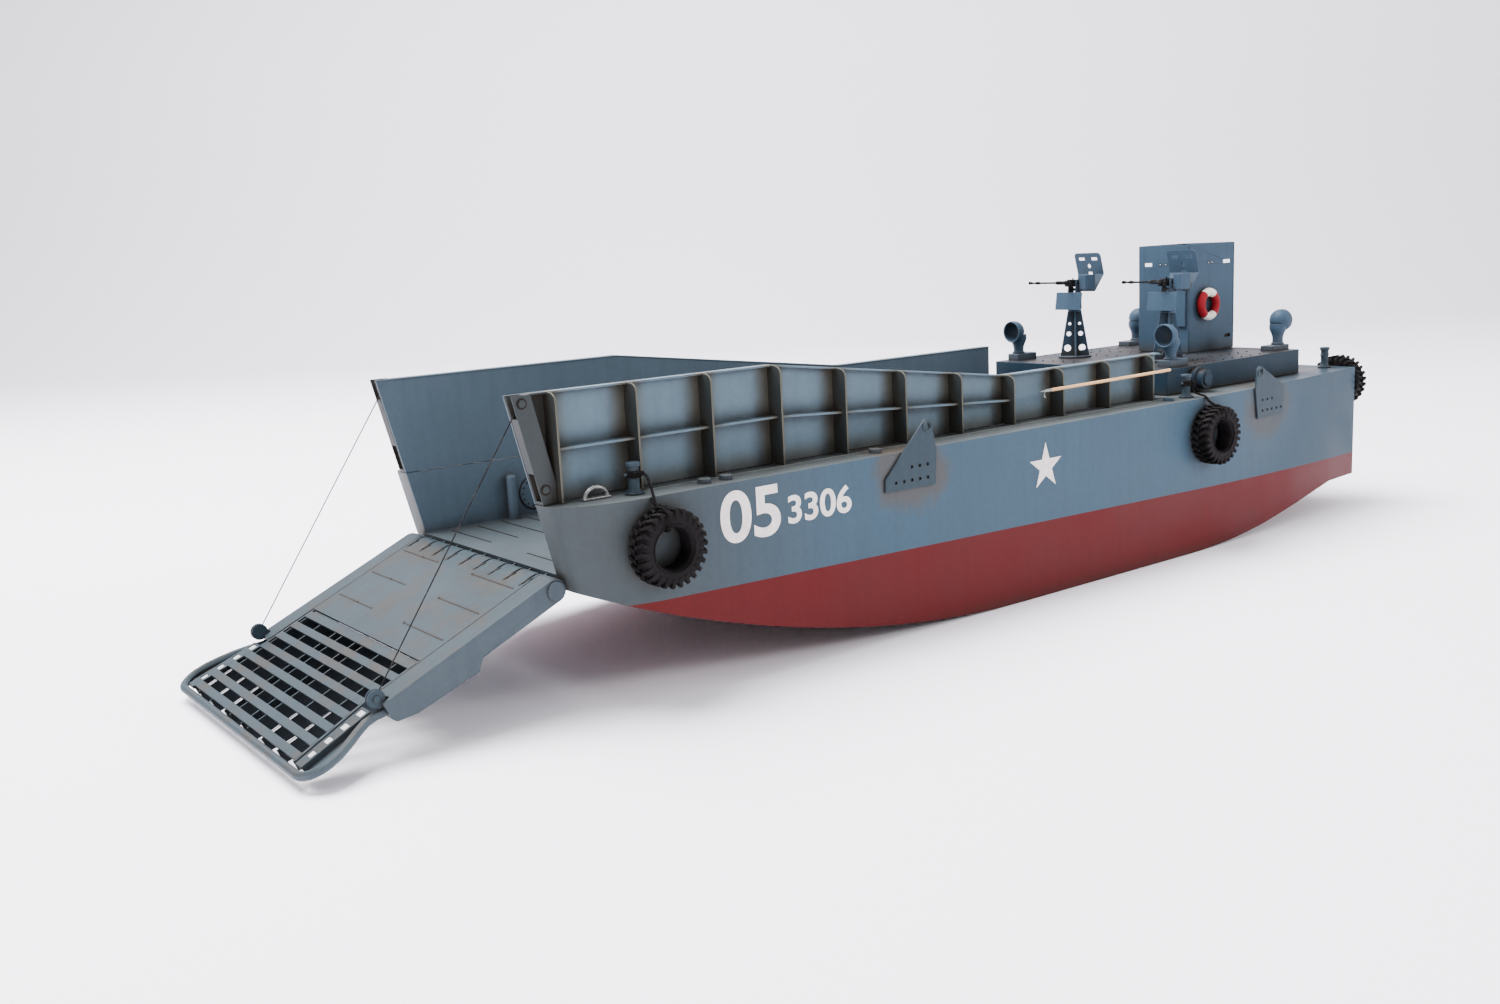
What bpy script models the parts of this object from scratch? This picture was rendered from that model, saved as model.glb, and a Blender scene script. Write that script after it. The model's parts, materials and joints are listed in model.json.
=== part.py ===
"""Desk model of a steel tank landing craft, bow ramp lowered, at about 1:16.

Metres, +X to the bow, +Y to port, +Z up. The origin is amidships on the flat of the bottom.
"""

import math

import bmesh
import bpy
from mathutils import Matrix, Vector

# Hull: a boxy float with a raked bow, a flat middle and a rising stern
DECK_Z = 0.134
FLOOR_Z = 0.088
HALF_BEAM = 0.134
TRANSOM_X = -0.456
TAPER_X = -0.168
TAPER_RATE = 0.205
BOW_RISE_X = 0.045
BOW_RISE_RATE = 0.5365
STERN_RISE_X = -0.165
STERN_RISE_RATE = 0.598
STERN_STRAIGHT_X = -0.303
COUNTER_X = -0.404
COUNTER_Z = 0.0285
BOW_FOOT_Z = 0.0786
FRONT_X = 0.4407
FRONT_LEAN = 0.232
CORNER_X = 0.385
CORNER_Y = 0.107
WELL_HALF = 0.0955
WELL_AFT_X = -0.173
GAP = 0.0003
MM = 0.001
FLAT_ANGLE = math.radians(0.2)

# Bulwarks along the well, with ribs, a top flange and a stringer
WALL_TOP_Z = 0.2025
WAIST_Z = 0.173
WALL_FALL_X = (0.2575, 0.0275)
WALL_AFT_X = -0.166
WALL_T = 0.002
RIB_COUNT = 11
RIB_FIRST_X = 0.4298
RIB_PITCH = 0.05755
RIB_T = 0.0015
RIB_Y = 0.1115
RIB_ROUND = 0.006
FLANGE_Y = 0.1025
FLANGE_T = 0.0012
STRINGER_Y = 0.1075
STRINGER_Z = (0.168, 0.154)
POST_LENGTH = 0.013
POST_Y = (0.0978, 0.1065)

# Ramp: its own frame has u down the slope, y to port and w square to it, from the hinge pin
PIVOT = Vector((0.4370, 0.0, 0.0805))
RAMP_SLOPE = math.radians(24.2)
RAMP_TOP_W = 0.0075
RAIL_Y = (0.0885, 0.1065)
RAIL_END_U = 0.124
PLATE_HALF = 0.0882
PLATE_END_U = 0.0885
PLATE_T = 0.002
PIN_R = 0.0016
PIN_HOLE_R = 0.0022
LUG_COUNT = 9
LUG_PITCH = 0.0211
LUG_T = 0.0012
LUG_SLOT = 0.0026
PLANK_COUNT = 8
PLANK_FIRST_U = 0.0902
PLANK_PITCH = 0.01175
PLANK_WIDTH = 0.0074
WEB_Y = (-0.083, -0.057, -0.029, -0.018, 0.004, 0.016, 0.042, 0.069)
WEB_T = 0.0012
WEB_END_U = 0.1806
FLARE_U = 0.1248
FLARE_HALF = 0.0873
FLARE_RATE = 0.17
SIDE_BAR_T = 0.002
TOE_U = 0.1840
TOE_Y = 0.1210
TOE_W = 0.0045
TOE_R = 0.0028
TOE_CORNER = 0.0140
TAB_START_U = 0.1312
TAB_END_Y = (0.1010, 0.1068)
SHEAVE_U = 0.125
SHEAVE_W = 0.011
SHEAVE_Y = 0.101
SHEAVE_R = 0.0055
SHEAVE_T = 0.0036
CABLE_R = 0.0004
CABLE_PIN = (0.4500, 0.1950)

# After deck: the low engine trunk and what stands on it
TRUNK_X = (-0.385, -0.180)
TRUNK_HALF = 0.100
TRUNK_TOP_Z = 0.157
DRUM_X, DRUM_Z = -0.219, 0.1436
HOUSE_X = (-0.3845, -0.310)
HOUSE_HALF = 0.0285
HOUSE_TOP_Z = 0.2605
PANEL_T = 0.0015
RING_X, RING_Z = -0.340, 0.2022
RING_R, RING_TUBE_R = 0.0125, 0.004
VENT_R = 0.0104
VENT_WALL = 0.0013
VENT_MOUTH = 0.28
# Each pair of ventilator blocks: aft and fore ends, inner and outer sides, top
VENT_BLOCKS = ((-0.2185, -0.1915, 0.0810, 0.0942, 0.1635), (-0.3830, -0.3570, 0.0763, 0.0905, 0.1620))
# Each pair of ventilators: name, centre of the ball, stem's own x, top of its block, way that it faces
VENTS = (
    ("fore", (-0.1939, 0.0885, 0.1850), -0.2008, 0.1635, 1),
    ("aft", (-0.3810, 0.0824, 0.1848), -0.3762, 0.1620, -1),
)
LOOKOUT_Z = (0.2408, 0.2438)
SPY_HOLE_R = 0.0012

# Gun mounts: a trained head on a crossed-plate pedestal, with a gun that elevates in it
GUN_X, GUN_Y = -0.2435, 0.054
PEDESTAL_TOP_Z = 0.203
TRUNNION_Z = 0.2288
TRUNNION_R = 0.0009
TRUNNION_HOLE_R = 0.0012
GUN_RISE = math.radians(3)
CHEEK_Y = (0.0039, 0.0051)

# Tyres hung as fenders, and deck fittings
TYRE_R = 0.025
TYRE_HOLE_R = 0.0125
TYRE_WIDTH = 0.0165
TYRE_LUGS = 26
BITT_HEIGHT = 0.020
PLATE_ON_SIDE_T = 0.0015

# Stern gear
SHAFT_Y = 0.060
SHAFT_Z = 0.0205
SHAFT_R = 0.0016
BEARING_R = 0.0020
PROPELLER_X = -0.418
PROPELLER_R = 0.0145
TUNNEL_Z = 0.0215
TUNNEL_R = 0.019
RUDDER_X = -0.440
STOCK_R = 0.0015
STOCK_HOLE_R = 0.0019
RUDDER_Z = (0.006, 0.034)

SIDES = (("port", 1), ("stbd", -1))

# A flat outline's own X, Y and Z in the craft's axes, for each way that it can face
FACING = {
    "x": Matrix(((0, 0, 1, 0), (1, 0, 0, 0), (0, 1, 0, 0), (0, 0, 0, 1))),
    "y": Matrix(((1, 0, 0, 0), (0, 0, -1, 0), (0, 1, 0, 0), (0, 0, 0, 1))),
    "z": Matrix.Identity(4),
}


# Collections and materials

for old in list(bpy.data.objects):
    bpy.data.objects.remove(old)
PARTS = bpy.data.collections.new("landing_craft")
CUTTERS = bpy.data.collections.new("landing_craft_cutters")
for collection in (PARTS, CUTTERS):
    bpy.context.scene.collection.children.link(collection)


def material(name, colour, roughness=0.5, metallic=0.0):
    """A plain Principled material."""
    made = bpy.data.materials.new(name)
    made.use_nodes = True
    shader = made.node_tree.nodes["Principled BSDF"]
    shader.inputs["Base Color"].default_value = (*colour, 1)
    shader.inputs["Roughness"].default_value = roughness
    shader.inputs["Metallic"].default_value = metallic
    return made


GREY = (0.155, 0.235, 0.290)
PAINT = {
    "hull": material("hull_paint", GREY, 0.45),
    "bulwark": material("bulwark_paint", (0.140, 0.215, 0.270), 0.5),
    "ramp": material("ramp_paint", (0.170, 0.245, 0.290), 0.5),
    "deckhouse": material("deckhouse_paint", (0.120, 0.195, 0.250), 0.5),
    "fitting": material("fitting_paint", (0.110, 0.165, 0.200), 0.5),
    "gun": material("gun_black", (0.020, 0.020, 0.022), 0.4, 0.6),
    "tyre": material("tyre_rubber", (0.022, 0.018, 0.017), 0.85),
    "ring": material("ring_white", (0.80, 0.79, 0.75), 0.5),
    "wood": material("pole_wood", (0.70, 0.42, 0.20), 0.5),
    "steel": material("cable_steel", (0.10, 0.10, 0.10), 0.4, 0.8),
    "bronze": material("propeller_bronze", (0.55, 0.36, 0.12), 0.3, 1.0),
}


# Shapes

def place(name, shape):
    """An object in the craft's collection from a bmesh, with its faces turned outwards."""
    bmesh.ops.recalc_face_normals(shape, faces=shape.faces)
    mesh = bpy.data.meshes.new(name)
    shape.to_mesh(mesh)
    shape.free()
    obj = bpy.data.objects.new(name, mesh)
    PARTS.objects.link(obj)
    return obj


def box(name, corner, other):
    """A block between two opposite corners."""
    corner, other = Vector(corner), Vector(other)
    size = Vector(abs(a - b) for a, b in zip(corner, other))
    shape = bmesh.new()
    bmesh.ops.create_cube(shape, size=1)
    bmesh.ops.scale(shape, vec=size, verts=shape.verts)
    bmesh.ops.translate(shape, vec=(corner + other) / 2, verts=shape.verts)
    return place(name, shape)


def rod(name, start, end, radius, end_radius=None, sides=20):
    """A round bar, or a cone, from one point to another."""
    start, end = Vector(start), Vector(end)
    shape = bmesh.new()
    bmesh.ops.create_cone(
        shape, cap_ends=True, segments=sides, radius1=radius,
        radius2=radius if end_radius is None else end_radius, depth=(end - start).length,
    )
    turn = Vector((0, 0, 1)).rotation_difference(end - start).to_matrix().to_4x4()
    bmesh.ops.transform(shape, matrix=Matrix.Translation((start + end) / 2) @ turn, verts=shape.verts)
    return place(name, shape)


def ball(name, centre, radius, steps=20):
    """A sphere."""
    shape = bmesh.new()
    bmesh.ops.create_uvsphere(shape, u_segments=steps, v_segments=steps // 2, radius=radius)
    bmesh.ops.translate(shape, vec=centre, verts=shape.verts)
    return place(name, shape)


def solid_of(obj, matrix=None):
    """A curve or a modified mesh made into a plain welded mesh object of the same name."""
    bpy.context.view_layer.update()
    graph = bpy.context.evaluated_depsgraph_get()
    mesh = bpy.data.meshes.new_from_object(obj.evaluated_get(graph))
    mesh.transform((matrix or Matrix.Identity(4)) @ obj.matrix_world)
    shape = bmesh.new()
    shape.from_mesh(mesh)
    bmesh.ops.remove_doubles(shape, verts=shape.verts, dist=1e-7)
    name = obj.name
    bpy.data.objects.remove(obj)
    bpy.data.meshes.remove(mesh)
    return place(name, shape)


def plate(name, outline, facing, low, high, holes=()):
    """A flat outline, with any holes, as thick as from low to high along the axis that it faces.

    It is filled in millimetres, because the fill loses small holes drawn in metres.
    """
    curve = bpy.data.curves.new(name, "CURVE")
    curve.dimensions = "2D"
    curve.fill_mode = "BOTH"
    curve.extrude = abs(high - low) / 2 / MM
    for points in (outline, *holes):
        spline = curve.splines.new("POLY")
        spline.points.add(len(points) - 1)
        spline.use_cyclic_u = True
        for point, (across, up) in zip(spline.points, points):
            point.co = (across / MM, up / MM, 0, 1)
    obj = bpy.data.objects.new(name, curve)
    PARTS.objects.link(obj)
    shift = {"x": (1, 0, 0), "y": (0, 1, 0), "z": (0, 0, 1)}[facing]
    shift = Matrix.Translation(Vector(shift) * (low + high) / 2)
    return solid_of(obj, shift @ FACING[facing] @ Matrix.Scale(MM, 4))


def tube(name, points, radius, resolution=2):
    """A bar of round section along a line of points."""
    curve = bpy.data.curves.new(name, "CURVE")
    curve.dimensions = "3D"
    curve.bevel_depth = radius
    curve.bevel_resolution = resolution
    curve.use_fill_caps = True
    spline = curve.splines.new("POLY")
    spline.points.add(len(points) - 1)
    for point, place_of in zip(spline.points, points):
        point.co = (*place_of, 1)
    obj = bpy.data.objects.new(name, curve)
    PARTS.objects.link(obj)
    return solid_of(obj)


def turned(name, profile, origin, direction, steps=24, closed=False):
    """A profile of (radius, height) points turned about an axis through origin."""
    mesh = bpy.data.meshes.new(name)
    count = len(profile)
    edges = [(k, (k + 1) % count) for k in range(count if closed else count - 1)]
    mesh.from_pydata([(radius, 0, height) for radius, height in profile], edges, [])
    obj = bpy.data.objects.new(name, mesh)
    PARTS.objects.link(obj)
    screw = obj.modifiers.new("turn", "SCREW")
    screw.steps = screw.render_steps = steps
    screw.use_merge_vertices = True
    screw.merge_threshold = 1e-6
    turn = Vector((0, 0, 1)).rotation_difference(Vector(direction)).to_matrix().to_4x4()
    return solid_of(obj, Matrix.Translation(origin) @ turn)


def together(name, pieces):
    """Pieces that don't touch, as one object for a single cut or union."""
    shape = bmesh.new()
    for piece in pieces:
        shape.from_mesh(piece.data)
        bpy.data.objects.remove(piece)
    return place(name, shape)


def change(target, tools, operation):
    """Cuts or joins tools into target, and keeps them with the cutters."""
    for tool in tools:
        boolean = target.modifiers.new(tool.name, "BOOLEAN")
        boolean.object = tool
        boolean.operation = operation
        boolean.solver = "EXACT"
        PARTS.objects.unlink(tool)
        CUTTERS.objects.link(tool)
        tool.hide_render = True
        tool.display_type = "WIRE"
    return target


def join(target, *tools):
    return change(target, tools, "UNION")


def cut(target, *tools):
    return change(target, tools, "DIFFERENCE")


def finish(obj, paint):
    """Gives a piece its material, and takes the loose edges of its cuts out of its flat faces."""
    if obj.modifiers:
        flats = obj.modifiers.new("flats", "DECIMATE")
        flats.decimate_type = "DISSOLVE"
        flats.angle_limit = FLAT_ANGLE
    obj.data.materials.clear()
    obj.data.materials.append(PAINT[paint])
    return obj


def pivot(name, location, turn_y=0.0):
    """An empty on a joint's axis, which carries the pieces that move about it."""
    empty = bpy.data.objects.new(name, None)
    empty.location = location
    empty.rotation_euler = (0, turn_y, 0)
    empty.empty_display_size = 0.01
    PARTS.objects.link(empty)
    return empty


def carry(empty, obj):
    """Hangs a piece, and the tools that shape it, on a joint's empty."""
    for each in (obj, *tools_of(obj)):
        each.parent = empty
    return obj


def tools_of(obj):
    return [modifier.object for modifier in obj.modifiers if modifier.type == "BOOLEAN"]


def arc(centre, radius, start, end, steps, height=None):
    """Points of a circle or, with a height, of an ellipse, from one angle to another in degrees."""
    height = radius if height is None else height
    angles = [math.radians(start + (end - start) * k / steps) for k in range(steps + 1)]
    return [(centre[0] + radius * math.cos(a), centre[1] + height * math.sin(a)) for a in angles]


def circle(centre, radius, sides=14):
    return arc(centre, radius, 0, 360, sides)[:-1]


def slot(low, high):
    """A rectangular hole."""
    return [low, (high[0], low[1]), high, (low[0], high[1])]


# Lines of the hull

def front_x(z):
    """Where the leaning bow line stands at a height."""
    return FRONT_X + FRONT_LEAN * (z - DECK_Z)


def side_y(x):
    """Half the beam at a place along the hull."""
    return HALF_BEAM - TAPER_RATE * max(0.0, TAPER_X - x) ** 2


def wall_top(x):
    """Height of the bulwark's top edge."""
    high, low = WALL_FALL_X
    share = min(1.0, max(0.0, (x - low) / (high - low)))
    return WAIST_Z + (WALL_TOP_Z - WAIST_Z) * share


def hull_profile():
    """Side view of the hull, from the deck at the bow, down and aft along the bottom."""
    points = [(front_x(DECK_Z), DECK_Z)]
    foot_x = front_x(BOW_FOOT_Z)
    steps = 12
    for k in range(steps + 1):
        x = foot_x + (BOW_RISE_X - foot_x) * k / steps
        points.append((x, BOW_RISE_RATE * (x - BOW_RISE_X) ** 2))
    for k in range(7):
        x = STERN_RISE_X + (STERN_STRAIGHT_X - STERN_RISE_X) * k / 6
        points.append((x, STERN_RISE_RATE * (STERN_RISE_X - x) ** 2))
    points += [(COUNTER_X, COUNTER_Z), (TRANSOM_X, COUNTER_Z), (TRANSOM_X, DECK_Z)]
    return points


def bow_plan():
    """Plan view at the deck's height: straight sides with rounded corners at the bow."""
    nose = FRONT_X + MM
    port = [(TRANSOM_X - 0.05, HALF_BEAM)]
    port += arc((CORNER_X, CORNER_Y), nose - CORNER_X, 90, 0, 9, HALF_BEAM - CORNER_Y)
    return mirrored(port)


def stern_plan():
    """Plan view of the tapered stern, whose first straight runs on past the bow, clear of the sides."""
    steps = 5
    stations = [TRANSOM_X + (TAPER_X - TRANSOM_X) * k / steps for k in range(steps)]
    port = [(x, side_y(x)) for x in stations]
    last_x, last_y = port[-1]
    rate = (HALF_BEAM - last_y) / (TAPER_X - last_x)
    ahead = FRONT_X + 0.1
    port.append((ahead, last_y + rate * (ahead - last_x)))
    return mirrored(port)


def mirrored(port):
    """A plan's port side joined to its mirror image."""
    return port + [(x, -y) for x, y in reversed(port)]


def leaned(obj):
    """Slides each height of a piece along the hull, so that its front follows the leaning bow."""
    for vertex in obj.data.vertices:
        vertex.co.x += FRONT_LEAN * (vertex.co.z - DECK_Z)
    return obj


def tunnel(sign):
    """The hollow over a propeller, fading out forward along the shaft."""
    start, full, end = TRANSOM_X - 0.01, -0.385, -0.325
    profile = [(0, start), (TUNNEL_R, start), (TUNNEL_R, full), (0.003, end), (0, end)]
    return turned("tunnel", profile, (0, sign * SHAFT_Y, TUNNEL_Z), (1, 0, 0), 24)


def deck_caps(sign):
    """The low round caps let into the side deck."""
    y, radius, height = sign * 0.122, 0.0045, 0.0034
    return [
        rod("deck_cap", (x, y, DECK_Z - 0.002), (x, y, DECK_Z + height), radius, sides=14)
        for x in (0.332, 0.315, 0.184, -0.152)
    ]


def well_post(sign):
    radius, height, chamfer = 0.00385, 0.0344, 0.0013
    profile = [(0, height), (radius - chamfer, height), (radius, height - 1.5 * chamfer),
               (radius, -0.002), (0, -0.002)]
    return turned("well_post", profile, (0.3607, sign * 0.090, FLOOR_Z), (0, 0, 1), 16)


def well_cover(sign):
    """The round cover on the well's side wall."""
    x, z, radius, proud = 0.339, 0.105, 0.0125, 0.0009
    buried = (x, sign * (WELL_HALF + 0.003), z)
    return rod("well_cover", buried, (x, sign * (WELL_HALF - proud), z), radius, sides=20)


def stern_gear(body):
    """Tunnels over the screws, and the struts and bores for their shafts and the rudders' stocks."""
    cut(body, together("tunnels", [tunnel(sign) for _, sign in SIDES]))
    aft, fore, arm_t, ring_r = -0.402, -0.396, 0.0015, 0.0038
    struts, rings, bores = [], [], []
    for _, sign in SIDES:
        y = sign * SHAFT_Y
        struts.append(box("strut_arm", (aft, y - arm_t / 2, SHAFT_Z + 0.003), (fore, y + arm_t / 2, 0.045)))
        rings.append(rod("strut_ring", (aft - MM / 2, y, SHAFT_Z), (fore + MM / 2, y, SHAFT_Z), ring_r))
        bores.append(rod("shaft_bore", (-0.412, y, SHAFT_Z), (-0.305, y, SHAFT_Z), BEARING_R, sides=16))
        bores.append(rod("stock_bore", (RUDDER_X, y, 0.036), (RUDDER_X, y, 0.047), STOCK_HOLE_R, sides=16))
    join(body, together("strut_arms", struts))
    join(body, together("strut_rings", rings))
    cut(body, together("stern_bores", bores))


def hull():
    beyond = 0.01
    body = plate("hull", hull_profile(), "y", -HALF_BEAM - beyond, HALF_BEAM + beyond)
    plans = [
        leaned(plate("bow_plan", bow_plan(), "z", -beyond, DECK_Z + beyond)),
        plate("stern_plan", stern_plan(), "z", -2 * beyond, DECK_Z + 2 * beyond),
    ]
    change(body, plans, "INTERSECT")
    cut(body, box("well", (WELL_AFT_X, -WELL_HALF, FLOOR_Z), (0.5, WELL_HALF, DECK_Z + 0.05)))
    fittings = []
    for _, sign in SIDES:
        fittings += [*deck_caps(sign), well_post(sign), well_cover(sign)]
    join(body, together("hull_fittings", fittings))
    stern_gear(body)
    finish(body, "hull")


# Bulwarks and the channel posts at their front edges

def band(points, height):
    """A strip of the given height under a line of points."""
    return points + [(x, z - height) for x, z in reversed(points)]


def bulwark(side, sign):
    base = DECK_Z + GAP
    wall_in, wall_out = WELL_HALF, WELL_HALF + WALL_T
    high, low = WALL_FALL_X
    trim = FLANGE_T / 3
    outline = [
        (front_x(base), base), (front_x(WALL_TOP_Z - trim), WALL_TOP_Z - trim), (high, WALL_TOP_Z - trim),
        (low, WAIST_Z - trim), (WALL_AFT_X, WAIST_Z - trim), (WALL_AFT_X, base),
    ]
    wall = plate(f"bulwark_{side}", outline, "y", sign * wall_in, sign * wall_out)
    ribs = []
    for k in range(RIB_COUNT):
        x = RIB_FIRST_X - RIB_PITCH * k
        top = wall_top(x) - trim
        corner = arc((RIB_Y - RIB_ROUND, top - RIB_ROUND), RIB_ROUND, 0, 90, 3)
        inner = wall_in + WALL_T / 2
        shape = [(inner, base + 0.0002), (RIB_Y, base + 0.0002), *corner, (inner, top)]
        shape = [(sign * y, z) for y, z in shape]
        ribs.append(plate("rib", shape, "x", x - RIB_T / 2, x + RIB_T / 2))
    join(wall, together(f"ribs_{side}", ribs))
    top_line = [(front_x(WALL_TOP_Z) - POST_LENGTH - 0.0008, WALL_TOP_Z), (high, WALL_TOP_Z),
                (low, WAIST_Z), (WALL_AFT_X - 0.0002, WAIST_Z)]
    flange = plate(f"flange_{side}", band(top_line, FLANGE_T), "y", sign * (wall_in - 0.0002),
                   sign * FLANGE_Y)
    front_line = [(front_x(WALL_TOP_Z), WALL_TOP_Z - 0.0001), (high + 0.05, WALL_TOP_Z - 0.0001)]
    lip = plate(f"lip_{side}", band(front_line, FLANGE_T - 0.0003), "y", sign * (wall_in - 0.0001),
                sign * (wall_out + 0.0001))
    line_z, fall_z = STRINGER_Z
    line = [(RIB_FIRST_X, line_z), (high, line_z), (low, fall_z)]
    stringer = plate(f"stringer_{side}", band(line, RIB_T), "y", sign * (wall_in + WALL_T / 2),
                     sign * STRINGER_Y)
    finish(join(wall, flange, lip, stringer), "bulwark")


def ramp_post(side, sign):
    """A channel at the bulwark's front edge, open in front where the ramp's cable and sheave go in."""
    base = DECK_Z + GAP
    inner, outer = POST_Y
    rear_stop = RIB_FIRST_X + RIB_T / 2 + GAP
    rear_z = DECK_Z + (rear_stop + POST_LENGTH - FRONT_X) / FRONT_LEAN
    outline = [
        (front_x(base), base), (front_x(WALL_TOP_Z), WALL_TOP_Z),
        (front_x(WALL_TOP_Z) - POST_LENGTH, WALL_TOP_Z), (rear_stop, rear_z), (rear_stop, base),
    ]
    post = plate(f"ramp_post_{side}", outline, "y", sign * inner, sign * outer)
    skin = 0.0010
    hollow_y = (sign * (inner + skin), sign * (outer - skin))
    mouths = []
    for bottom, top, depth in ((0.1883, WALL_TOP_Z + 0.002, 0.0095), (0.1365, 0.1539, 0.006)):
        shape = [(front_x(bottom) + 0.002, bottom), (front_x(top) + 0.002, top),
                 (front_x(top) - depth, top), (front_x(bottom) - depth, bottom)]
        mouths.append(plate("mouth", shape, "y", *hollow_y))
    cut(post, together(f"post_mouths_{side}", mouths))
    x, z = CABLE_PIN
    seat = 0.0004
    pin = rod(f"cable_pin_{side}", (x, sign * (inner + seat), z), (x, sign * (outer - seat), z), 0.001,
              sides=12)
    bolts = [
        rod("bolt", (x, sign * (outer - 0.0005), z), (x, sign * (outer + 0.0012), z), 0.0024, sides=12)
        for x, z in ((0.4500, 0.1974), (0.4385, 0.1438))
    ]
    finish(join(post, pin, together(f"post_bolts_{side}", bolts)), "bulwark")


# Ramp, flat in its own frame and hung on the hinge

def ramp_rail(side, sign, hinge):
    inner, outer = RAIL_Y
    outline = arc((0, 0), RAMP_TOP_W, 90, 262, 10)
    outline += [(0.060, -0.0070), (0.066, -0.0130), (0.110, -0.0105), (0.122, -0.0070),
                (RAIL_END_U, -0.004), (RAIL_END_U, RAMP_TOP_W)]
    pin_hole = circle((0, 0), PIN_HOLE_R, 10)
    rail = plate(f"ramp_rail_{side}", outline, "y", sign * inner, sign * outer, [pin_hole])
    half = SHEAVE_T / 2 + GAP
    seat_w = SHEAVE_W - SHEAVE_R - GAP
    seat = box(f"sheave_seat_{side}", (SHEAVE_U - SHEAVE_R - 0.001, sign * (SHEAVE_Y - half), seat_w),
               (RAIL_END_U + 0.002, sign * (SHEAVE_Y + half), RAMP_TOP_W + 0.002))
    carry(hinge, finish(cut(rail, seat), "ramp"))


def ramp_plate(hinge):
    section = slot((0.001, RAMP_TOP_W - PLATE_T), (PLATE_END_U, RAMP_TOP_W))
    leaf = plate("ramp_plate", section, "y", -PLATE_HALF, PLATE_HALF)
    drum_half, drum_r = PLATE_HALF - 0.0002, RAMP_TOP_W - 0.0001
    drum = rod("ramp_drum", (0, -drum_half, 0), (0, drum_half, 0), drum_r, sides=18)
    bore = rod("drum_bore", (0, -PLATE_HALF - 0.01, 0), (0, PLATE_HALF + 0.01, 0), PIN_HOLE_R, sides=10)
    slots = [
        box("lug_slot", (-0.009, y - LUG_SLOT / 2, -0.009), (0.0095, y + LUG_SLOT / 2, RAMP_TOP_W + 0.002))
        for y in lug_places()
    ]
    join(leaf, drum)
    cut(leaf, bore, together("lug_slots", slots))
    bars = []
    for u in (0.0148, 0.0418, 0.0692):
        for _, sign in SIDES:
            bars.append(box("weld_bar", (u - 0.0005, sign * 0.026, RAMP_TOP_W - 0.0005),
                            (u + 0.0005, sign * 0.083, RAMP_TOP_W + 0.0004)))
    carry(hinge, finish(join(leaf, together("weld_bars", bars)), "ramp"))


def lug_places():
    return [LUG_PITCH * (k - (LUG_COUNT - 1) / 2) for k in range(LUG_COUNT)]


def hinge_pin():
    """The pin, its end caps and the hull's lugs that carry it."""
    x, z = PIVOT.x, PIVOT.z
    cap_y = RAIL_Y[1] + GAP
    pin = rod("hinge_pin", (x, -cap_y - 0.0005, z), (x, cap_y + 0.0005, z), PIN_R, sides=9)
    foot, head, round_r = BOW_FOOT_Z + 0.0004, FLOOR_Z - 0.0010, 0.0038
    outline = [(front_x(head) + GAP, head), (front_x(foot) + GAP, foot)]
    outline += arc((x, z), round_r, -90, 80, 5)
    lugs = [plate("lug", outline, "y", y - LUG_T / 2, y + LUG_T / 2) for y in lug_places()]
    caps = [
        rod("pin_cap", (x, sign * cap_y, z), (x, sign * (cap_y + 0.0012), z), 0.0060, sides=18)
        for _, sign in SIDES
    ]
    finish(join(pin, together("lugs", lugs), together("pin_caps", caps)), "ramp")


def grating_half(u):
    """Half the grating's width: straight between the rails, then flared out to the toe."""
    return FLARE_HALF + FLARE_RATE * max(0.0, u - FLARE_U)


def side_bar(sign, start_u, end_u, turn):
    """A stretch of the grating's side bar, shallower towards the toe, turned out where it flares."""
    top = RAMP_TOP_W - 0.0002
    head_w, rise = -0.0080, 0.09
    feet = [(u, head_w + rise * (u - PLATE_END_U)) for u in (start_u, end_u)]
    outline = [(start_u, top), *feet, (end_u, top)]
    bar = plate("side_bar", outline, "y", sign * (FLARE_HALF - SIDE_BAR_T), sign * FLARE_HALF)
    corner = Matrix.Translation((FLARE_U, sign * FLARE_HALF, 0))
    bar.data.transform(corner @ Matrix.Rotation(sign * turn, 4, "Z") @ corner.inverted())
    return bar


def ramp_grating(hinge):
    """Planks on deep lengthwise webs between two side bars, one open frame."""
    planks = []
    for k in range(PLANK_COUNT):
        u = PLANK_FIRST_U + PLANK_PITCH * k
        half = grating_half(u) - 0.0004
        planks.append(box("plank", (u, -half, RAMP_TOP_W - PLATE_T), (u + PLANK_WIDTH, half, RAMP_TOP_W)))
    grating = together("ramp_grating", planks)
    start_u = PLATE_END_U + GAP
    depth = [(PLANK_FIRST_U + 0.001, -0.0115), (0.112, -0.0100), (WEB_END_U, -0.0030)]
    top = RAMP_TOP_W - 0.0008
    webs = [
        plate("web", [(depth[0][0], top), *depth, (WEB_END_U, top)], "y", y - WEB_T / 2, y + WEB_T / 2)
        for y in WEB_Y
    ]
    # A bar across the head of the grating closes the gap under its edge
    head = box("head_bar", (start_u, -FLARE_HALF + MM, -0.0080),
               (PLANK_FIRST_U + 0.0006, FLARE_HALF - MM, RAMP_TOP_W - 0.0012))
    straight = [side_bar(sign, start_u, FLARE_U + 0.0002, 0) for _, sign in SIDES]
    flared = [side_bar(sign, FLARE_U, WEB_END_U, math.atan(FLARE_RATE)) for _, sign in SIDES]
    join(grating, together("grating_webs", webs), head, together("grating_sides", straight),
         together("grating_flares", flared))
    carry(hinge, finish(grating, "ramp"))


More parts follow.
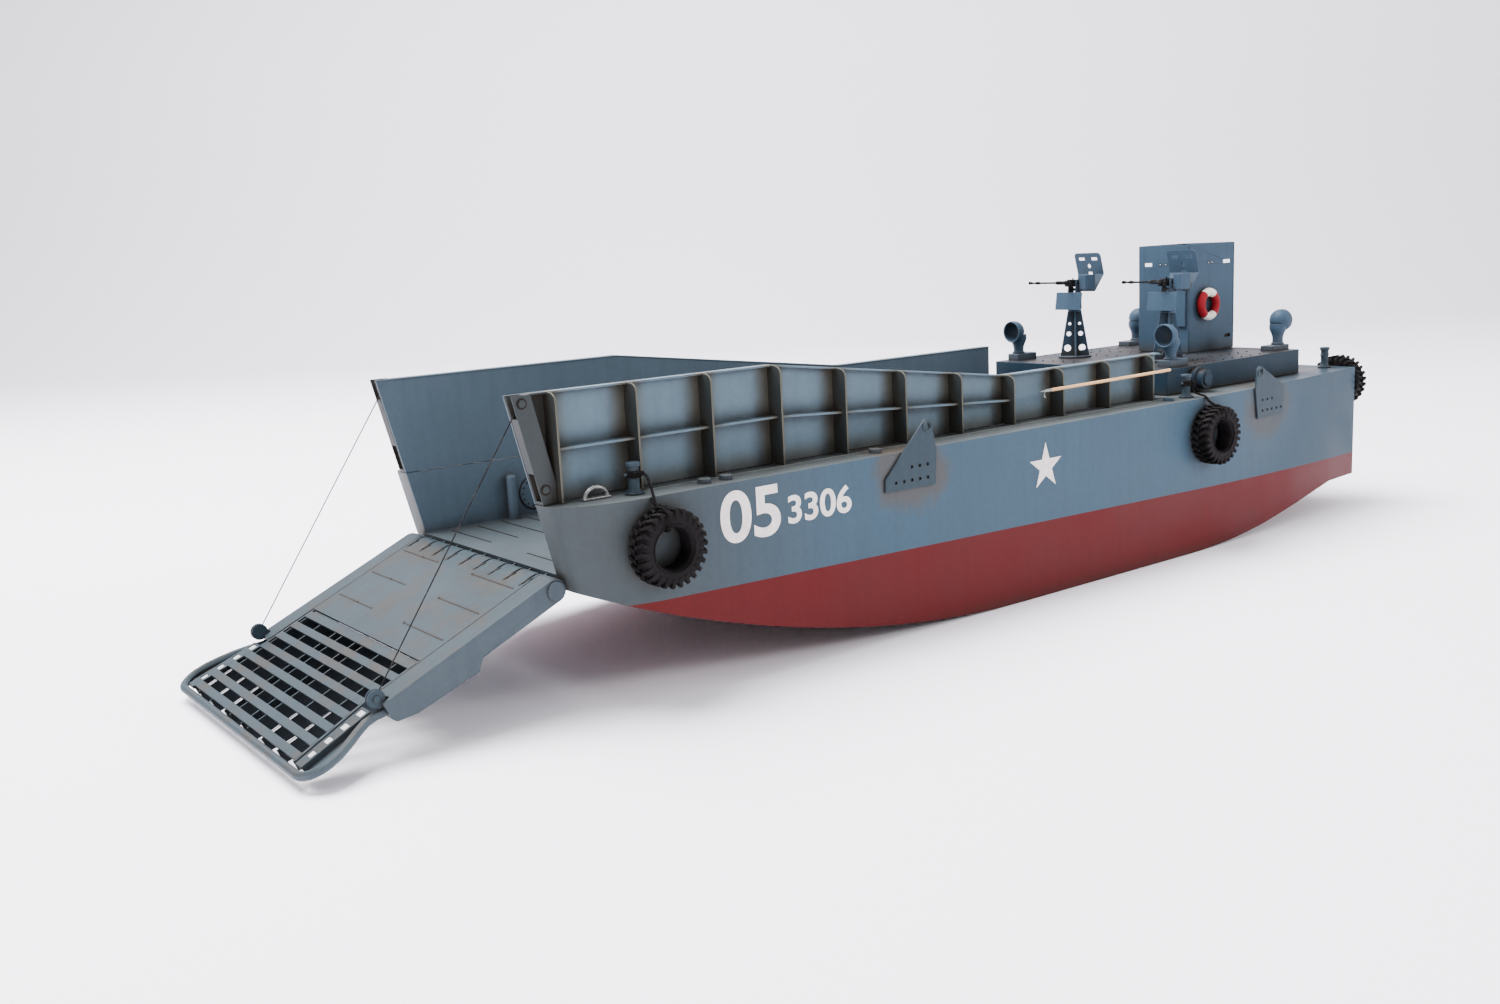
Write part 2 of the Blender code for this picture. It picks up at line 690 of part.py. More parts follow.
def toe_tray(sign):
    """Beside the grating's flare: a strip of tabs in line with the planks, over a pan out to the tube."""
    start_u, end_u = TAB_START_U, WEB_END_U - 2 * GAP
    near, far = TAB_END_Y
    clear = SIDE_BAR_T / 4 + 2 * GAP

    def inner(u):
        return grating_half(u) + clear

    def outer(u):
        return near + (far - near) * (u - start_u) / (end_u - start_u)

    def level(name, outline, low, high, holes=()):
        return plate(name, [(u, sign * y) for u, y in outline], "z", low, high, holes)

    holes = []
    rim, edge = 0.0016, 0.0020
    for k in range(3, PLANK_COUNT - 1):
        low = PLANK_FIRST_U + PLANK_PITCH * k + PLANK_WIDTH
        high = PLANK_FIRST_U + PLANK_PITCH * (k + 1)
        corners = [(low, inner(low) + rim), (high, inner(high) + rim), (high, outer(high) - edge),
                   (low, outer(low) - edge)]
        holes.append([(u, sign * y) for u, y in corners])
    strip = [(start_u, inner(start_u)), (end_u, inner(end_u)), (end_u, outer(end_u)),
             (start_u, outer(start_u))]
    # The curb under the tabs' ends, and the pan, start and end a little inside the strip
    first, last = start_u + GAP, end_u - GAP
    curb = [(first, outer(first) - 0.0012), (last, outer(last) - 0.0012), (last, outer(last) - 0.0001),
            (first, outer(first) - 0.0001)]
    pan = [(first, near - MM), (first, 0.1030), (0.1455, 0.1095), (0.1560, 0.1165), (0.1680, 0.1205),
           (last, 0.1160), (last, far - MM)]
    return (level("tabs", strip, 0.0052, 0.0066, holes), level("curb", curb, 0.0016, 0.0060),
            level("pan", pan, 0.0012, 0.0026))


def ramp_toe(hinge):
    """The tube round the ramp's toe, with the tabs and the pan beside the grating on each side."""
    start_u = RAIL_END_U + GAP
    half = [(start_u, 0.1015, 0.0012), (start_u + 0.002, 0.1015, 0.0012), (0.131, 0.1022, 0.0026),
            (0.138, 0.1050, 0.0040), (0.1455, 0.1100, TOE_W), (0.1540, 0.1155, TOE_W),
            (0.1620, 0.1195, TOE_W)]
    corner = arc((TOE_U - TOE_CORNER, TOE_Y - TOE_CORNER), TOE_CORNER, 90, 0, 6)
    half += [(u, y, TOE_W) for u, y in corner]
    path = half + [(u, -y, w) for u, y, w in reversed(half)]
    toe = tube("ramp_toe", path, TOE_R, 2)
    trays = [toe_tray(sign) for _, sign in SIDES]
    for name, pieces in zip(("toe_tabs", "toe_curbs", "toe_pans"), zip(*trays)):
        join(toe, together(name, pieces))
    carry(hinge, finish(toe, "ramp"))


def sheave(side, sign, hinge):
    """A small pulley block at the rail's end, with its two cheeks."""
    y = sign * SHEAVE_Y
    half = SHEAVE_T / 2
    flange, groove, hub, proud = half - 0.0010, half - 0.0014, 0.0020, 0.0008
    floor_r = SHEAVE_R - 0.0010
    profile = [(0, half + proud), (hub, half + proud), (hub, half), (SHEAVE_R, half), (SHEAVE_R, flange),
               (floor_r, groove), (floor_r, -groove), (SHEAVE_R, -flange), (SHEAVE_R, -half), (0, -half)]
    wheel = turned(f"sheave_{side}", profile, (SHEAVE_U, y, SHEAVE_W), (0, sign, 0), 16)
    carry(hinge, finish(wheel, "fitting"))


def ramp_point(u, y, w):
    """A point of the lowered ramp's frame in the craft's frame."""
    return PIVOT + Matrix.Rotation(RAMP_SLOPE, 3, "Y") @ Vector((u, y, w))


def ramp_cable(side, sign):
    """The taut cable from the pin in the post down to the sheave on the lowered ramp."""
    y = sign * SHEAVE_Y
    wheel = ramp_point(SHEAVE_U, y, SHEAVE_W)
    post = Vector((CABLE_PIN[0], y, CABLE_PIN[1]))
    along = (post - wheel).normalized()
    start = wheel + along * (SHEAVE_R + GAP)
    end = post - along * (0.001 + GAP)
    finish(rod(f"ramp_cable_{side}", start, end, CABLE_R, sides=8), "steel")


# Engine trunk, pilothouse, life rings and ventilators

def engine_trunk():
    aft, front = TRUNK_X
    trunk = box("engine_trunk", (aft, -TRUNK_HALF, DECK_Z + GAP), (front, TRUNK_HALF, TRUNK_TOP_Z))
    blocks = [
        box("vent_block", (low_x, sign * low_y, TRUNK_TOP_Z - 0.002), (high_x, sign * high_y, top))
        for low_x, high_x, low_y, high_y, top in VENT_BLOCKS for _, sign in SIDES
    ]
    finish(join(trunk, together("vent_blocks", blocks)), "deckhouse")


def side_drum(side, sign):
    profile = [(0, 0.0147), (0.0055, 0.0147), (0.0055, 0.0132), (0.0085, 0.0132), (0.0085, 0.0070),
               (0.0112, 0.0070), (0.0112, 0.0045), (0.0085, 0.0045), (0.0085, 0), (0, 0)]
    origin = (DRUM_X, sign * (TRUNK_HALF + GAP), DRUM_Z + 0.0018)
    finish(turned(f"side_drum_{side}", profile, origin, (0, sign, 0), 18), "deckhouse")


def pilothouse():
    """Four upright plates, open above, with look-out slots and small holes."""
    aft, front = HOUSE_X
    base, top = TRUNK_TOP_Z + GAP, HOUSE_TOP_Z
    low_z, high_z = LOOKOUT_Z
    row_z = (low_z + high_z) / 2
    across, slot_half = 0.0177, 0.0035
    end_holes = [slot((y - slot_half, low_z), (y + slot_half, high_z)) for y in (-across, across)]
    end_holes += [circle((y, row_z), SPY_HOLE_R, 10) for y in (-0.0032, 0.0032, 0.0095)]
    for name, low, high in (("front", front - PANEL_T, front), ("aft", aft, aft + PANEL_T)):
        panel = plate(f"pilothouse_{name}", slot((-HOUSE_HALF, base), (HOUSE_HALF, top)), "x", low, high,
                      end_holes)
        if name == "front":
            locker = box("locker_face", (front - 0.0005, 0.0075, 0.183), (front + 0.0020, 0.0265, 0.2205))
            join(panel, locker)
        finish(panel, "deckhouse")
    # The starboard panel is the port one turned end for end
    for side, sign, ends in (("port", 1, (aft, 1)), ("stbd", -1, (front, -1))):
        start, way = ends

        def along(distance):
            return start + way * distance

        holes = [slot((along(0.0078), low_z), (along(0.0158), high_z)),
                 slot((along(0.0056), 0.1683), (along(0.0116), 0.1713))]
        holes += [circle((along(distance), row_z), SPY_HOLE_R, 10) for distance in (0.0365, 0.0425, 0.0605)]
        outline = slot((aft + PANEL_T + GAP, base), (front - PANEL_T - GAP, top))
        panel = plate(f"pilothouse_{side}", outline, "y", sign * (HOUSE_HALF - PANEL_T), sign * HOUSE_HALF,
                      holes)
        finish(panel, "deckhouse")


def life_ring(side, sign):
    profile = circle((RING_R, 0), RING_TUBE_R, 8)
    origin = (RING_X, sign * (HOUSE_HALF + GAP + RING_TUBE_R), RING_Z)
    finish(turned(f"life_ring_{side}", profile, origin, (0, 1, 0), 24, closed=True), "ring")


def ventilator(name, centre, stem_x, base_z, facing):
    """A cowl: a hollow ball with a wide open mouth, bent forward of the stem that it stands on."""
    x, y, z = centre
    cowl = ball(name, centre, VENT_R, 16)
    neck, foot = 0.0046, 0.0060
    profile = [(0, z), (neck + 0.0004, z), (neck + 0.0003, z - 0.008), (neck, z - 0.013),
               (neck, base_z + 0.002), (foot, base_z + 0.0012), (foot, base_z), (0, base_z)]
    stem = turned(f"{name}_stem", profile, (stem_x, y, 0), (0, 0, 1), 14)
    join(cowl, stem)
    mouth = x + facing * VENT_R * VENT_MOUTH
    reach = 2 * VENT_R
    front = box(f"{name}_mouth", (mouth, y - reach, z - VENT_R - MM),
                (mouth + facing * reach, y + reach, z + reach))
    inside = ball(f"{name}_inside", centre, VENT_R - VENT_WALL, 16)
    finish(cut(cowl, front, inside), "deckhouse")


def ventilators():
    for place_name, (x, y, z), stem_x, base_z, facing in VENTS:
        for side, sign in SIDES:
            ventilator(f"vent_{place_name}_{side}", (x, sign * y, z), stem_x, base_z + GAP, facing)


# Gun mounts

def gun_pedestal(side, sign):
    """Two upright tapered plates crossed at right angles, between a base disc and a top disc."""
    base = TRUNK_TOP_Z + GAP
    foot, head, skin = 0.014, 0.0065, 0.0006
    low, high = base + skin, PEDESTAL_TOP_Z - 0.0008
    outline = [(-foot, low), (foot, low), (head, high), (-head, high)]
    # Height and radius of each lightening hole, and how far it stands from the middle
    table = ((0.1662, 0.0034, 0.0070), (0.1800, 0.0024, 0.0056), (0.1898, 0.0015, 0.0047))
    holes = [circle((s * out, z), radius, 8) for z, radius, out in table for s in (-1, 1)]
    spot = Vector((GUN_X, sign * GUN_Y, 0))
    fins = []
    for k, angle in enumerate((45, -45)):
        fin = plate(f"fin_{side}_{k}", outline, "y", -skin, skin, holes)
        fin.data.transform(Matrix.Translation(spot) @ Matrix.Rotation(math.radians(angle), 4, "Z"))
        fins.append(fin)

    def disc(name, low_z, high_z, radius, sides):
        return rod(f"{name}_{side}", spot + Vector((0, 0, low_z)), spot + Vector((0, 0, high_z)), radius,
                   sides=sides)

    foot_disc = disc("gun_pedestal", base, base + 0.0014, 0.0160, 20)
    top_disc = disc("pedestal_top", PEDESTAL_TOP_Z - 0.0018, PEDESTAL_TOP_Z, 0.0066, 14)
    finish(join(foot_disc, *fins, top_disc), "deckhouse")


def gun_shield(side):
    """The shield: an upper plate that leans forward, folded to a narrower lower one, with its openings."""
    fold, top, foot = (-0.0255, 0.2365), (-0.0195, 0.2570), (-0.0175, 0.2200)
    skin, half, foot_half, corner = 0.0010, 0.01574, 0.0105, 0.0035
    profile = [foot, fold, top, (top[0] + skin, top[1]), (fold[0] + skin * 1.1, fold[1]),
               (foot[0] + skin, foot[1])]
    shield = plate(f"shield_{side}", profile, "y", -half, half)
    edge = half - MM / 100
    shape = [(-foot_half, foot[1] - 0.002), (foot_half, foot[1] - 0.002), (edge, fold[1])]
    shape += arc((edge - corner, top[1] - corner), corner, 0, 90, 4)
    shape += arc((-edge + corner, top[1] - corner), corner, 90, 180, 4) + [(-edge, fold[1])]
    sight_z = (0.2498, 0.2526)
    openings = [slot((low, sight_z[0]), (low + 0.0072, sight_z[1])) for low in (-0.0112, 0.0040)]
    openings += [circle((0, 0.2442), 0.0021, 12), slot((-0.0026, 0.2340), (0.0026, 0.2385))]
    change(shield, [plate(f"shield_shape_{side}", shape, "x", -0.04, 0.0, openings)], "INTERSECT")
    return applied(shield)


def gun_head(side, train):
    """What trains: turntable, low front panel, trunnion cheeks, ammunition box and folded shield."""
    base = PEDESTAL_TOP_Z + GAP
    table = rod(f"gun_head_{side}", (0, 0, base), (0, 0, base + 0.0018), 0.0064, sides=20)
    inner, outer = CHEEK_Y
    cheek = [(-0.0050, base + 0.0008), (0.0050, base + 0.0008), (0.0032, TRUNNION_Z + 0.0028),
             (-0.0032, TRUNNION_Z + 0.0028)]
    bore = circle((0, TRUNNION_Z), TRUNNION_HOLE_R, 12)
    cheeks = [plate("cheek", cheek, "y", s * inner, s * outer, [bore]) for s in (-1, 1)]
    panel_low, panel_high, panel_half = base + 0.0004, 0.2205, 0.0155
    panel = plate(f"front_panel_{side}", [(0.0095, panel_low), (0.0105, panel_low), (0.0080, panel_high),
                                          (0.0070, panel_high)], "y", -panel_half, panel_half)
    shelf = box(f"panel_shelf_{side}", (-0.0030, -0.0036, base + 0.0009), (0.0100, 0.0036, base + 0.0024))
    join(table, together(f"cheeks_{side}", cheeks), shelf, panel)
    arm_z = (0.2212, 0.2240)
    arms = [
        box("arm", (-0.0205, s * inner, arm_z[0]), (-0.0020, s * (outer - 0.0001), arm_z[1]))
        for s in (-1, 1)
    ]
    # The box hangs on the port arm, outboard of the trunnion's end
    box_y = 0.0062
    ammunition = box(f"ammunition_box_{side}", (-0.0140, box_y, 0.2225), (0.0005, 0.0140, 0.2365))
    bracket = box(f"box_bracket_{side}", (-0.0130, inner + 0.0004, arm_z[0] + 0.0004),
                  (-0.0030, box_y + 0.0006, arm_z[1] - 0.0003))
    join(table, together(f"arms_{side}", arms), bracket, ammunition, gun_shield(side))
    carry(train, finish(table, "deckhouse"))


def applied(obj):
    """The same object with its modifiers made real, as a tool for another cut or union."""
    tools = tools_of(obj)
    made = solid_of(obj)
    for tool in tools:
        bpy.data.objects.remove(tool)
    return made


def gun(side, elevation):
    """The gun, pointing along +X from its trunnion."""
    half, body_x = 0.0030, 0.0125
    body = box(f"gun_{side}", (-body_x, -half, -0.0034), (body_x, half, half))
    jacket, thin, muzzle = 0.0017, 0.0009, 0.0014
    # Radius and distance of each step, from the muzzle back to the body
    profile = [(0, 0.0645), (0.0013, 0.0645), (0.0013, 0.0615), (0.0008, 0.0610), (0.0008, 0.0560),
               (muzzle, 0.0555), (muzzle, 0.0515), (thin, 0.0510), (thin, 0.0265), (jacket, 0.0260),
               (jacket, 0.0100), (0, 0.0100)]
    barrel = turned(f"barrel_{side}", profile, (0, 0, 0.0004), (1, 0, 0), 8)
    reach = CHEEK_Y[1] + 0.0005
    trunnion = rod(f"trunnion_{side}", (0, -reach, 0), (0, reach, 0), TRUNNION_R, sides=12)
    grip = box(f"grip_{side}", (-0.0150, -0.0026, -0.0024), (-0.0120, 0.0026, 0.0010))
    carry(elevation, finish(join(body, barrel, trunnion, grip), "gun"))


def gun_mounts():
    for side, sign in SIDES:
        gun_pedestal(side, sign)
        train = pivot(f"gun_train_axis_{side}", (GUN_X, sign * GUN_Y, 0))
        gun_head(side, train)
        elevation = pivot(f"gun_elevation_axis_{side}", (0, 0, TRUNNION_Z), -GUN_RISE)
        elevation.parent = train
        gun(side, elevation)


# Deck fittings, fenders and the boat hook

def bitt(name, x, y):
    """A mooring post with a cap and a cross bar, on a round base plate."""
    base = DECK_Z + GAP
    foot_r, foot_t, post_r, cap_r, collar_r = 0.0062, 0.0014, 0.0036, 0.0046, 0.0046
    foot = rod(name, (x, y, base), (x, y, base + foot_t), foot_r, sides=16)
    profile = [(0, BITT_HEIGHT), (cap_r - 0.0005, BITT_HEIGHT), (cap_r, BITT_HEIGHT - 0.0006),
               (cap_r, BITT_HEIGHT - 0.0022), (post_r, BITT_HEIGHT - 0.0030), (post_r, 0.0030),
               (collar_r, 0.0020), (collar_r, 0.0006), (0, 0.0006)]
    post = turned(f"{name}_post", profile, (x, y, base), (0, 0, 1), 12)
    reach, bar_z = 0.0070, base + 0.0125
    bar = rod(f"{name}_bar", (x - reach, y, bar_z), (x + reach, y, bar_z), 0.0010, sides=8)
    finish(join(foot, post, bar), "fitting")


def bitts():
    for place_name, x, y in (("bow", 0.382, 0.117), ("mid", -0.178, 0.121), ("stern", -0.438, 0.095)):
        for side, sign in SIDES:
            bitt(f"bitt_{place_name}_{side}", x, sign * y)


def fairlead(side, sign):
    """A low wide arch of thick bar over a narrow base."""
    base = DECK_Z + GAP
    x, y = 0.407, sign * 0.1120
    foot = box(f"fairlead_{side}", (x - 0.0098, y - 0.0022, base), (x + 0.0098, y + 0.0022, base + 0.0012))
    half, rise = 0.0080, 0.0066
    arch = tube(f"arch_{side}", [(x + across, y, base + 0.0006 + up) for across, up in
                                 arc((0, 0), half, 180, 0, 12, rise)], 0.0013)
    finish(join(foot, arch), "fitting")


def lifting_plate(place_name, side, sign):
    """A padeye plate on the hull's side, its eye standing above the deck edge."""
    fore = place_name == "fore"
    if fore:
        corner_x, eye, way = 0.1877, (0.1462, 0.1500), 1
        outline = [(0.1387, 0.1066), (corner_x, 0.1073), (0.1873, 0.1165)]
    else:
        corner_x, eye, way = -0.3085, (-0.2685, 0.1482), -1
        outline = [(-0.2657, 0.1062), (corner_x, 0.1067), (-0.3089, 0.1323)]
    near_x = outline[0][0]
    outline += arc(eye, 0.0050, 60 if fore else 120, 180 if fore else 0, 6)
    outline += [(0.1370, 0.1326)] if fore else [(-0.2615, 0.1323)]
    holes = [circle(eye, 0.0022, 9)]
    for row_z, count in ((0.1130, 5), (0.1225, 3)):
        holes += [circle((near_x + way * (0.0075 + 0.0078 * k), row_z), 0.0013, 7) for k in range(count)]
    made = plate(f"lifting_plate_{place_name}_{side}", outline, "y", 0, sign * PLATE_ON_SIDE_T, holes)
    hole_r, rim_r, low, high = 0.0030, 0.0044, 0.0002, PLATE_ON_SIDE_T + 0.0009
    rim = [(hole_r, low), (hole_r, high), (rim_r, high), (rim_r, low)]
    ring = turned(f"eye_ring_{place_name}_{side}", rim, (eye[0], 0, eye[1]), (0, sign, 0), 13, closed=True)
    start_x, end_x = (0.1370, 0.1877) if fore else (-0.2615, -0.3089)
    slope = math.atan2(sign * (side_y(end_x) - side_y(start_x)), end_x - start_x)
    if abs(slope) > math.pi / 2:
        slope -= math.copysign(math.pi, slope)
    seat_y = sign * (side_y(start_x) + 0.0004)
    seat = Matrix.Translation((start_x, seat_y, 0)) @ Matrix.Rotation(slope, 4, "Z")
    for each in (made, ring):
        each.data.transform(seat @ Matrix.Translation((-start_x, 0, 0)))
    finish(join(made, ring), "fitting")


def tyre(name, centre, direction):
    """A lugged tyre: every other step of the turned ring is drawn in between the lugs."""
    half, shoulder = TYRE_WIDTH / 2, TYRE_WIDTH * 0.4
    profile = [(TYRE_HOLE_R, shoulder), (TYRE_R * 0.74, half), (TYRE_R, shoulder),
               (TYRE_R, -shoulder), (TYRE_R * 0.74, -half), (TYRE_HOLE_R, -shoulder)]
    ring = turned(name, profile, (0, 0, 0), (0, 0, 1), TYRE_LUGS * 2, closed=True)
    step = math.pi / TYRE_LUGS
    drawn_in = Vector((0.935, 0.935, 0.94))
    for vertex in ring.data.vertices:
        radius = math.hypot(vertex.co.x, vertex.co.y)
        turn = round(math.atan2(vertex.co.y, vertex.co.x) / step)
        if radius > TYRE_R * 0.9 and turn % 2:
            vertex.co = vertex.co * drawn_in
    turn = Vector((0, 0, 1)).rotation_difference(Vector(direction)).to_matrix().to_4x4()
    ring.data.transform(Matrix.Translation(centre) @ turn)
    finish(ring, "tyre")


def tyres():
    out = TYRE_WIDTH / 2 + GAP
    for side, sign in SIDES:
        for place_name, x, z in (("fore", 0.3764, 0.1026), ("mid", -0.1902, 0.1019)):
            tyre(f"tyre_{place_name}_{side}", (x, sign * (side_y(x) + out + 0.0002), z), (0, sign, 0))
        tyre(f"tyre_transom_{side}", (TRANSOM_X - out, sign * 0.095, 0.119), (-1, 0, 0))


def boat_hook():
    pole_r, barb_r, bend_r = 0.00125, 0.0006, 0.0030
    y = RIB_Y + GAP + pole_r
    tip, butt = Vector((-0.0004, y, 0.1574)), Vector((-0.1664, y, 0.1587))
    pole = rod("boat_hook", butt, tip - Vector((0.006, 0, 0)), pole_r, sides=12)
    spike = rod("hook_spike", tip - Vector((0.0085, 0, 0)), tip, 0.0012, 0.0003, sides=10)
    curl = arc((tip.x - 0.0080, tip.z - bend_r), bend_r, 90, -60, 6)
    barb = tube("hook_barb", [(x, y, z) for x, z in curl], barb_r)
    finish(join(pole, spike, barb), "wood")


# Propellers and rudders

def propeller(side, sign):
    """A three-bladed screw in one piece with its shaft, about the shaft's line."""
    blades = []
    length = PROPELLER_R - 0.0019
    outline = arc((0, PROPELLER_R - length / 2), 0.0050, 0, 360, 14, length / 2)[:-1]
    pitch = Matrix.Rotation(math.radians(sign * 58), 4, "Z")
    for k in range(3):
        blade = plate(f"blade_{side}_{k}", outline, "x", -0.0005, 0.0005)
        blade.data.transform(Matrix.Rotation(math.radians(120 * k), 4, "X") @ pitch)
        blades.append(blade)
    hub_r = 0.0035
    profile = [(0, 0.0040), (hub_r, 0.0036), (hub_r, -0.0030), (hub_r * 0.63, -0.0048), (0, -0.0052)]
    hub = turned(f"propeller_{side}", profile, (0, 0, 0), (1, 0, 0), 16)
    shaft = rod(f"shaft_{side}", (0.003, 0, 0), (-0.310 - PROPELLER_X, 0, 0), SHAFT_R, sides=12)
    axis = pivot(f"propeller_axis_{side}", (PROPELLER_X, sign * SHAFT_Y, SHAFT_Z))
    carry(axis, finish(join(hub, *blades, shaft), "bronze"))


def rudder(side, sign):
    """A flat blade on an upright stock, about the stock's line."""
    low, high = RUDDER_Z
    aft, fore, chamfer = -0.015, 0.008, 0.003
    outline = [(aft, low + chamfer), (aft + chamfer, low), (fore - chamfer, low), (fore, low + chamfer),
               (fore, high), (aft, high)]
    blade = plate(f"rudder_{side}", outline, "y", -0.0010, 0.0010)
    stock = rod(f"stock_{side}", (0, 0, low + 0.004), (0, 0, 0.046), STOCK_R, sides=12)
    axis = pivot(f"rudder_axis_{side}", (RUDDER_X, sign * SHAFT_Y, 0))
    carry(axis, finish(join(blade, stock), "hull"))


def main():
    hull()
    hinge = pivot("ramp_axis", PIVOT, RAMP_SLOPE)
    ramp_plate(hinge)
    ramp_grating(hinge)
    ramp_toe(hinge)
    hinge_pin()
    engine_trunk()
    pilothouse()
    ventilators()
    gun_mounts()
    bitts()
    tyres()
    boat_hook()
    for side, sign in SIDES:
        bulwark(side, sign)
        ramp_post(side, sign)
        ramp_rail(side, sign, hinge)
        sheave(side, sign, hinge)
        ramp_cable(side, sign)
        side_drum(side, sign)
        life_ring(side, sign)
        fairlead(side, sign)
        for place_name in ("fore", "aft"):
            lifting_plate(place_name, side, sign)
        propeller(side, sign)
        rudder(side, sign)


main()
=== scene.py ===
# %% [markdown]
# # A desk model of a tank landing craft
#
# The craft is a flat-bottomed steel float with an open well, a bow ramp that is down, and a low
# engine trunk with a pilothouse aft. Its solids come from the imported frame, in metres. This lesson
# gives them their looks: the big painted shapes get eased edges, the round fittings are turned
# again finely, and every surface gets a paint, rubber, wood or metal made of nodes.

# %% Load the frame
import json
import math

import bmesh
import bpy
from mathutils import Matrix, Vector


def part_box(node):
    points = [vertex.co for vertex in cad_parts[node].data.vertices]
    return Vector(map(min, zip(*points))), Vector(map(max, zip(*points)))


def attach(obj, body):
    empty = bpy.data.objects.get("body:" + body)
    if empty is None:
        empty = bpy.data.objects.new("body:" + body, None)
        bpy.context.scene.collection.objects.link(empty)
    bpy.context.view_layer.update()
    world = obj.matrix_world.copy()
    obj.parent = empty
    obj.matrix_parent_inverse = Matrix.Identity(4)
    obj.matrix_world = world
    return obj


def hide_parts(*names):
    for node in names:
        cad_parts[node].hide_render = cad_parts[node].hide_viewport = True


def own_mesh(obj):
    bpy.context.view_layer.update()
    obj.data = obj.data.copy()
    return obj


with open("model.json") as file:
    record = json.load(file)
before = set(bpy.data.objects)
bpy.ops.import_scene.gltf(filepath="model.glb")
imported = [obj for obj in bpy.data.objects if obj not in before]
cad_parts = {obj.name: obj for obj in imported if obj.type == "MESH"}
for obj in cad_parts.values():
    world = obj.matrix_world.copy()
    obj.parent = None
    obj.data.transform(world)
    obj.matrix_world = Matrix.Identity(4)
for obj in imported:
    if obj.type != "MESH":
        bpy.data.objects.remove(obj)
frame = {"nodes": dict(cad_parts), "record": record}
NODES = frame["nodes"]
BODIES = frame["record"]["behaviour"]["bodies"]
BODY_OF = {node_name: body for body, members in BODIES.items() for node_name in members}
SLOT_OF = {row["node"]: row["material_slot"] for row in frame["record"]["subparts"]}
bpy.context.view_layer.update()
SIDES = (("port", 1), ("stbd", -1))

# %% [markdown]
# ## Camera
#
# The lens and the place of the camera were solved from the hull's straight lines. The camera stands
# off the port bow, a little above the bulwarks, and rolls by a degree or so.

# %% Place the camera
CAMERA_AT = (0.8368, 0.8435, 0.2854)
CAMERA_TURN = (79.36, 2.93, 142.61)
LENS_MM, SENSOR_MM = 33.35, 36.0

bpy.ops.object.camera_add(location=CAMERA_AT, rotation=[math.radians(angle) for angle in CAMERA_TURN])
camera = bpy.context.object
camera.data.lens = LENS_MM
camera.data.sensor_width = SENSOR_MM
camera.data.clip_start = 0.01
bpy.context.scene.camera = camera

# %% [markdown]
# ## Floor
#
# The model stands on a pale studio sweep: a floor that curves up into a wall, so no horizon shows.
# A strip is all that it takes, so its side view is worked out as a line and pulled out sideways.

# %% Build the sweep
SWEEP_REACH, SWEEP_BACK, SWEEP_CURVE, SWEEP_TALL = 6.0, 2.6, 0.9, 3.2
SWEEP_STEPS, SWEEP_TONE, SWEEP_ROUGHNESS = 14, (0.93, 0.91, 0.96), 0.75


def pale_material(name, colour, roughness):
    """A plain studio surface."""
    made = bpy.data.materials.new(name)
    made.use_nodes = True
    shader = made.node_tree.nodes["Principled BSDF"]
    shader.inputs["Base Color"].default_value = (*colour, 1)
    shader.inputs["Roughness"].default_value = roughness
    return made


def make_sweep():
    """A strip pulled along the camera's line of sight and bent up behind the model."""
    line = [(-SWEEP_REACH, 0.0)]
    for k in range(SWEEP_STEPS + 1):
        angle = math.pi / 2 * k / SWEEP_STEPS
        line.append((SWEEP_BACK + SWEEP_CURVE * math.sin(angle), SWEEP_CURVE * (1 - math.cos(angle))))
    line.append((SWEEP_BACK + SWEEP_CURVE, SWEEP_TALL))
    shape = bmesh.new()
    rows = [[shape.verts.new((side * SWEEP_REACH, along, up)) for along, up in line] for side in (-1, 1)]
    for left, right, next_left, next_right in zip(rows[0], rows[1], rows[0][1:], rows[1][1:]):
        shape.faces.new((left, right, next_right, next_left))
    mesh = bpy.data.meshes.new("sweep")
    shape.to_mesh(mesh)
    shape.free()
    mesh.shade_smooth()
    sweep = bpy.data.objects.new("sweep", mesh)
    bpy.context.collection.objects.link(sweep)
    sweep.rotation_euler.z = math.radians(CAMERA_TURN[2])
    mesh.materials.append(pale_material("sweep_paper", SWEEP_TONE, SWEEP_ROUGHNESS))


make_sweep()

# %% [markdown]
# ## Light
#
# A lamp low off the port quarter throws the soft shadows that fall towards the bow, a broad one
# overhead lights the floor and the flat steel, and the pale world fills the rest. Area lamps are
# chosen because a broad lamp gives a shadow a soft edge.

# %% Light the studio
# Place, aimed at, size, power and colour of each soft lamp
LAMPS = (
    ("key", (-1.75, 2.20, 1.15), (0.0, 0.0, 0.08), 0.7, 50.0, (1.0, 0.98, 0.96)),
    ("top", (0.6, -0.9, 2.6), (0.1, 0.0, 0.0), 2.2, 430.0, (0.98, 0.97, 1.0)),
    ("bow", (2.4, 0.5, 1.5), (0.2, 0.0, 0.1), 1.2, 16.0, (0.95, 0.96, 1.0)),
)
WORLD_TONE, WORLD_STRENGTH = (0.90, 0.90, 0.95), 1.25


def light_studio():
    """Soft lamps and a pale world."""
    for name, place, target, size, power, colour in LAMPS:
        bpy.ops.object.light_add(type="AREA", location=place)
        lamp = bpy.context.object
        lamp.name = f"{name}_light"
        lamp.rotation_euler = (Vector(target) - Vector(place)).to_track_quat("-Z", "Y").to_euler()
        lamp.data.size = size
        lamp.data.energy = power
        lamp.data.color = colour
    world = bpy.data.worlds.new("studio")
    world.use_nodes = True
    background = world.node_tree.nodes["Background"]
    background.inputs["Color"].default_value = (*WORLD_TONE, 1)
    background.inputs["Strength"].default_value = WORLD_STRENGTH
    bpy.context.scene.world = world


light_studio()

# %% [markdown]
# ## Node helpers
#
# Every finish reads Object coordinates, so a pattern stays with its piece. A small class holds one
# material's tree and gives short names to the steps that the finishes share, so a finish reads as
# it is mixed: this share of that colour, blended over another.

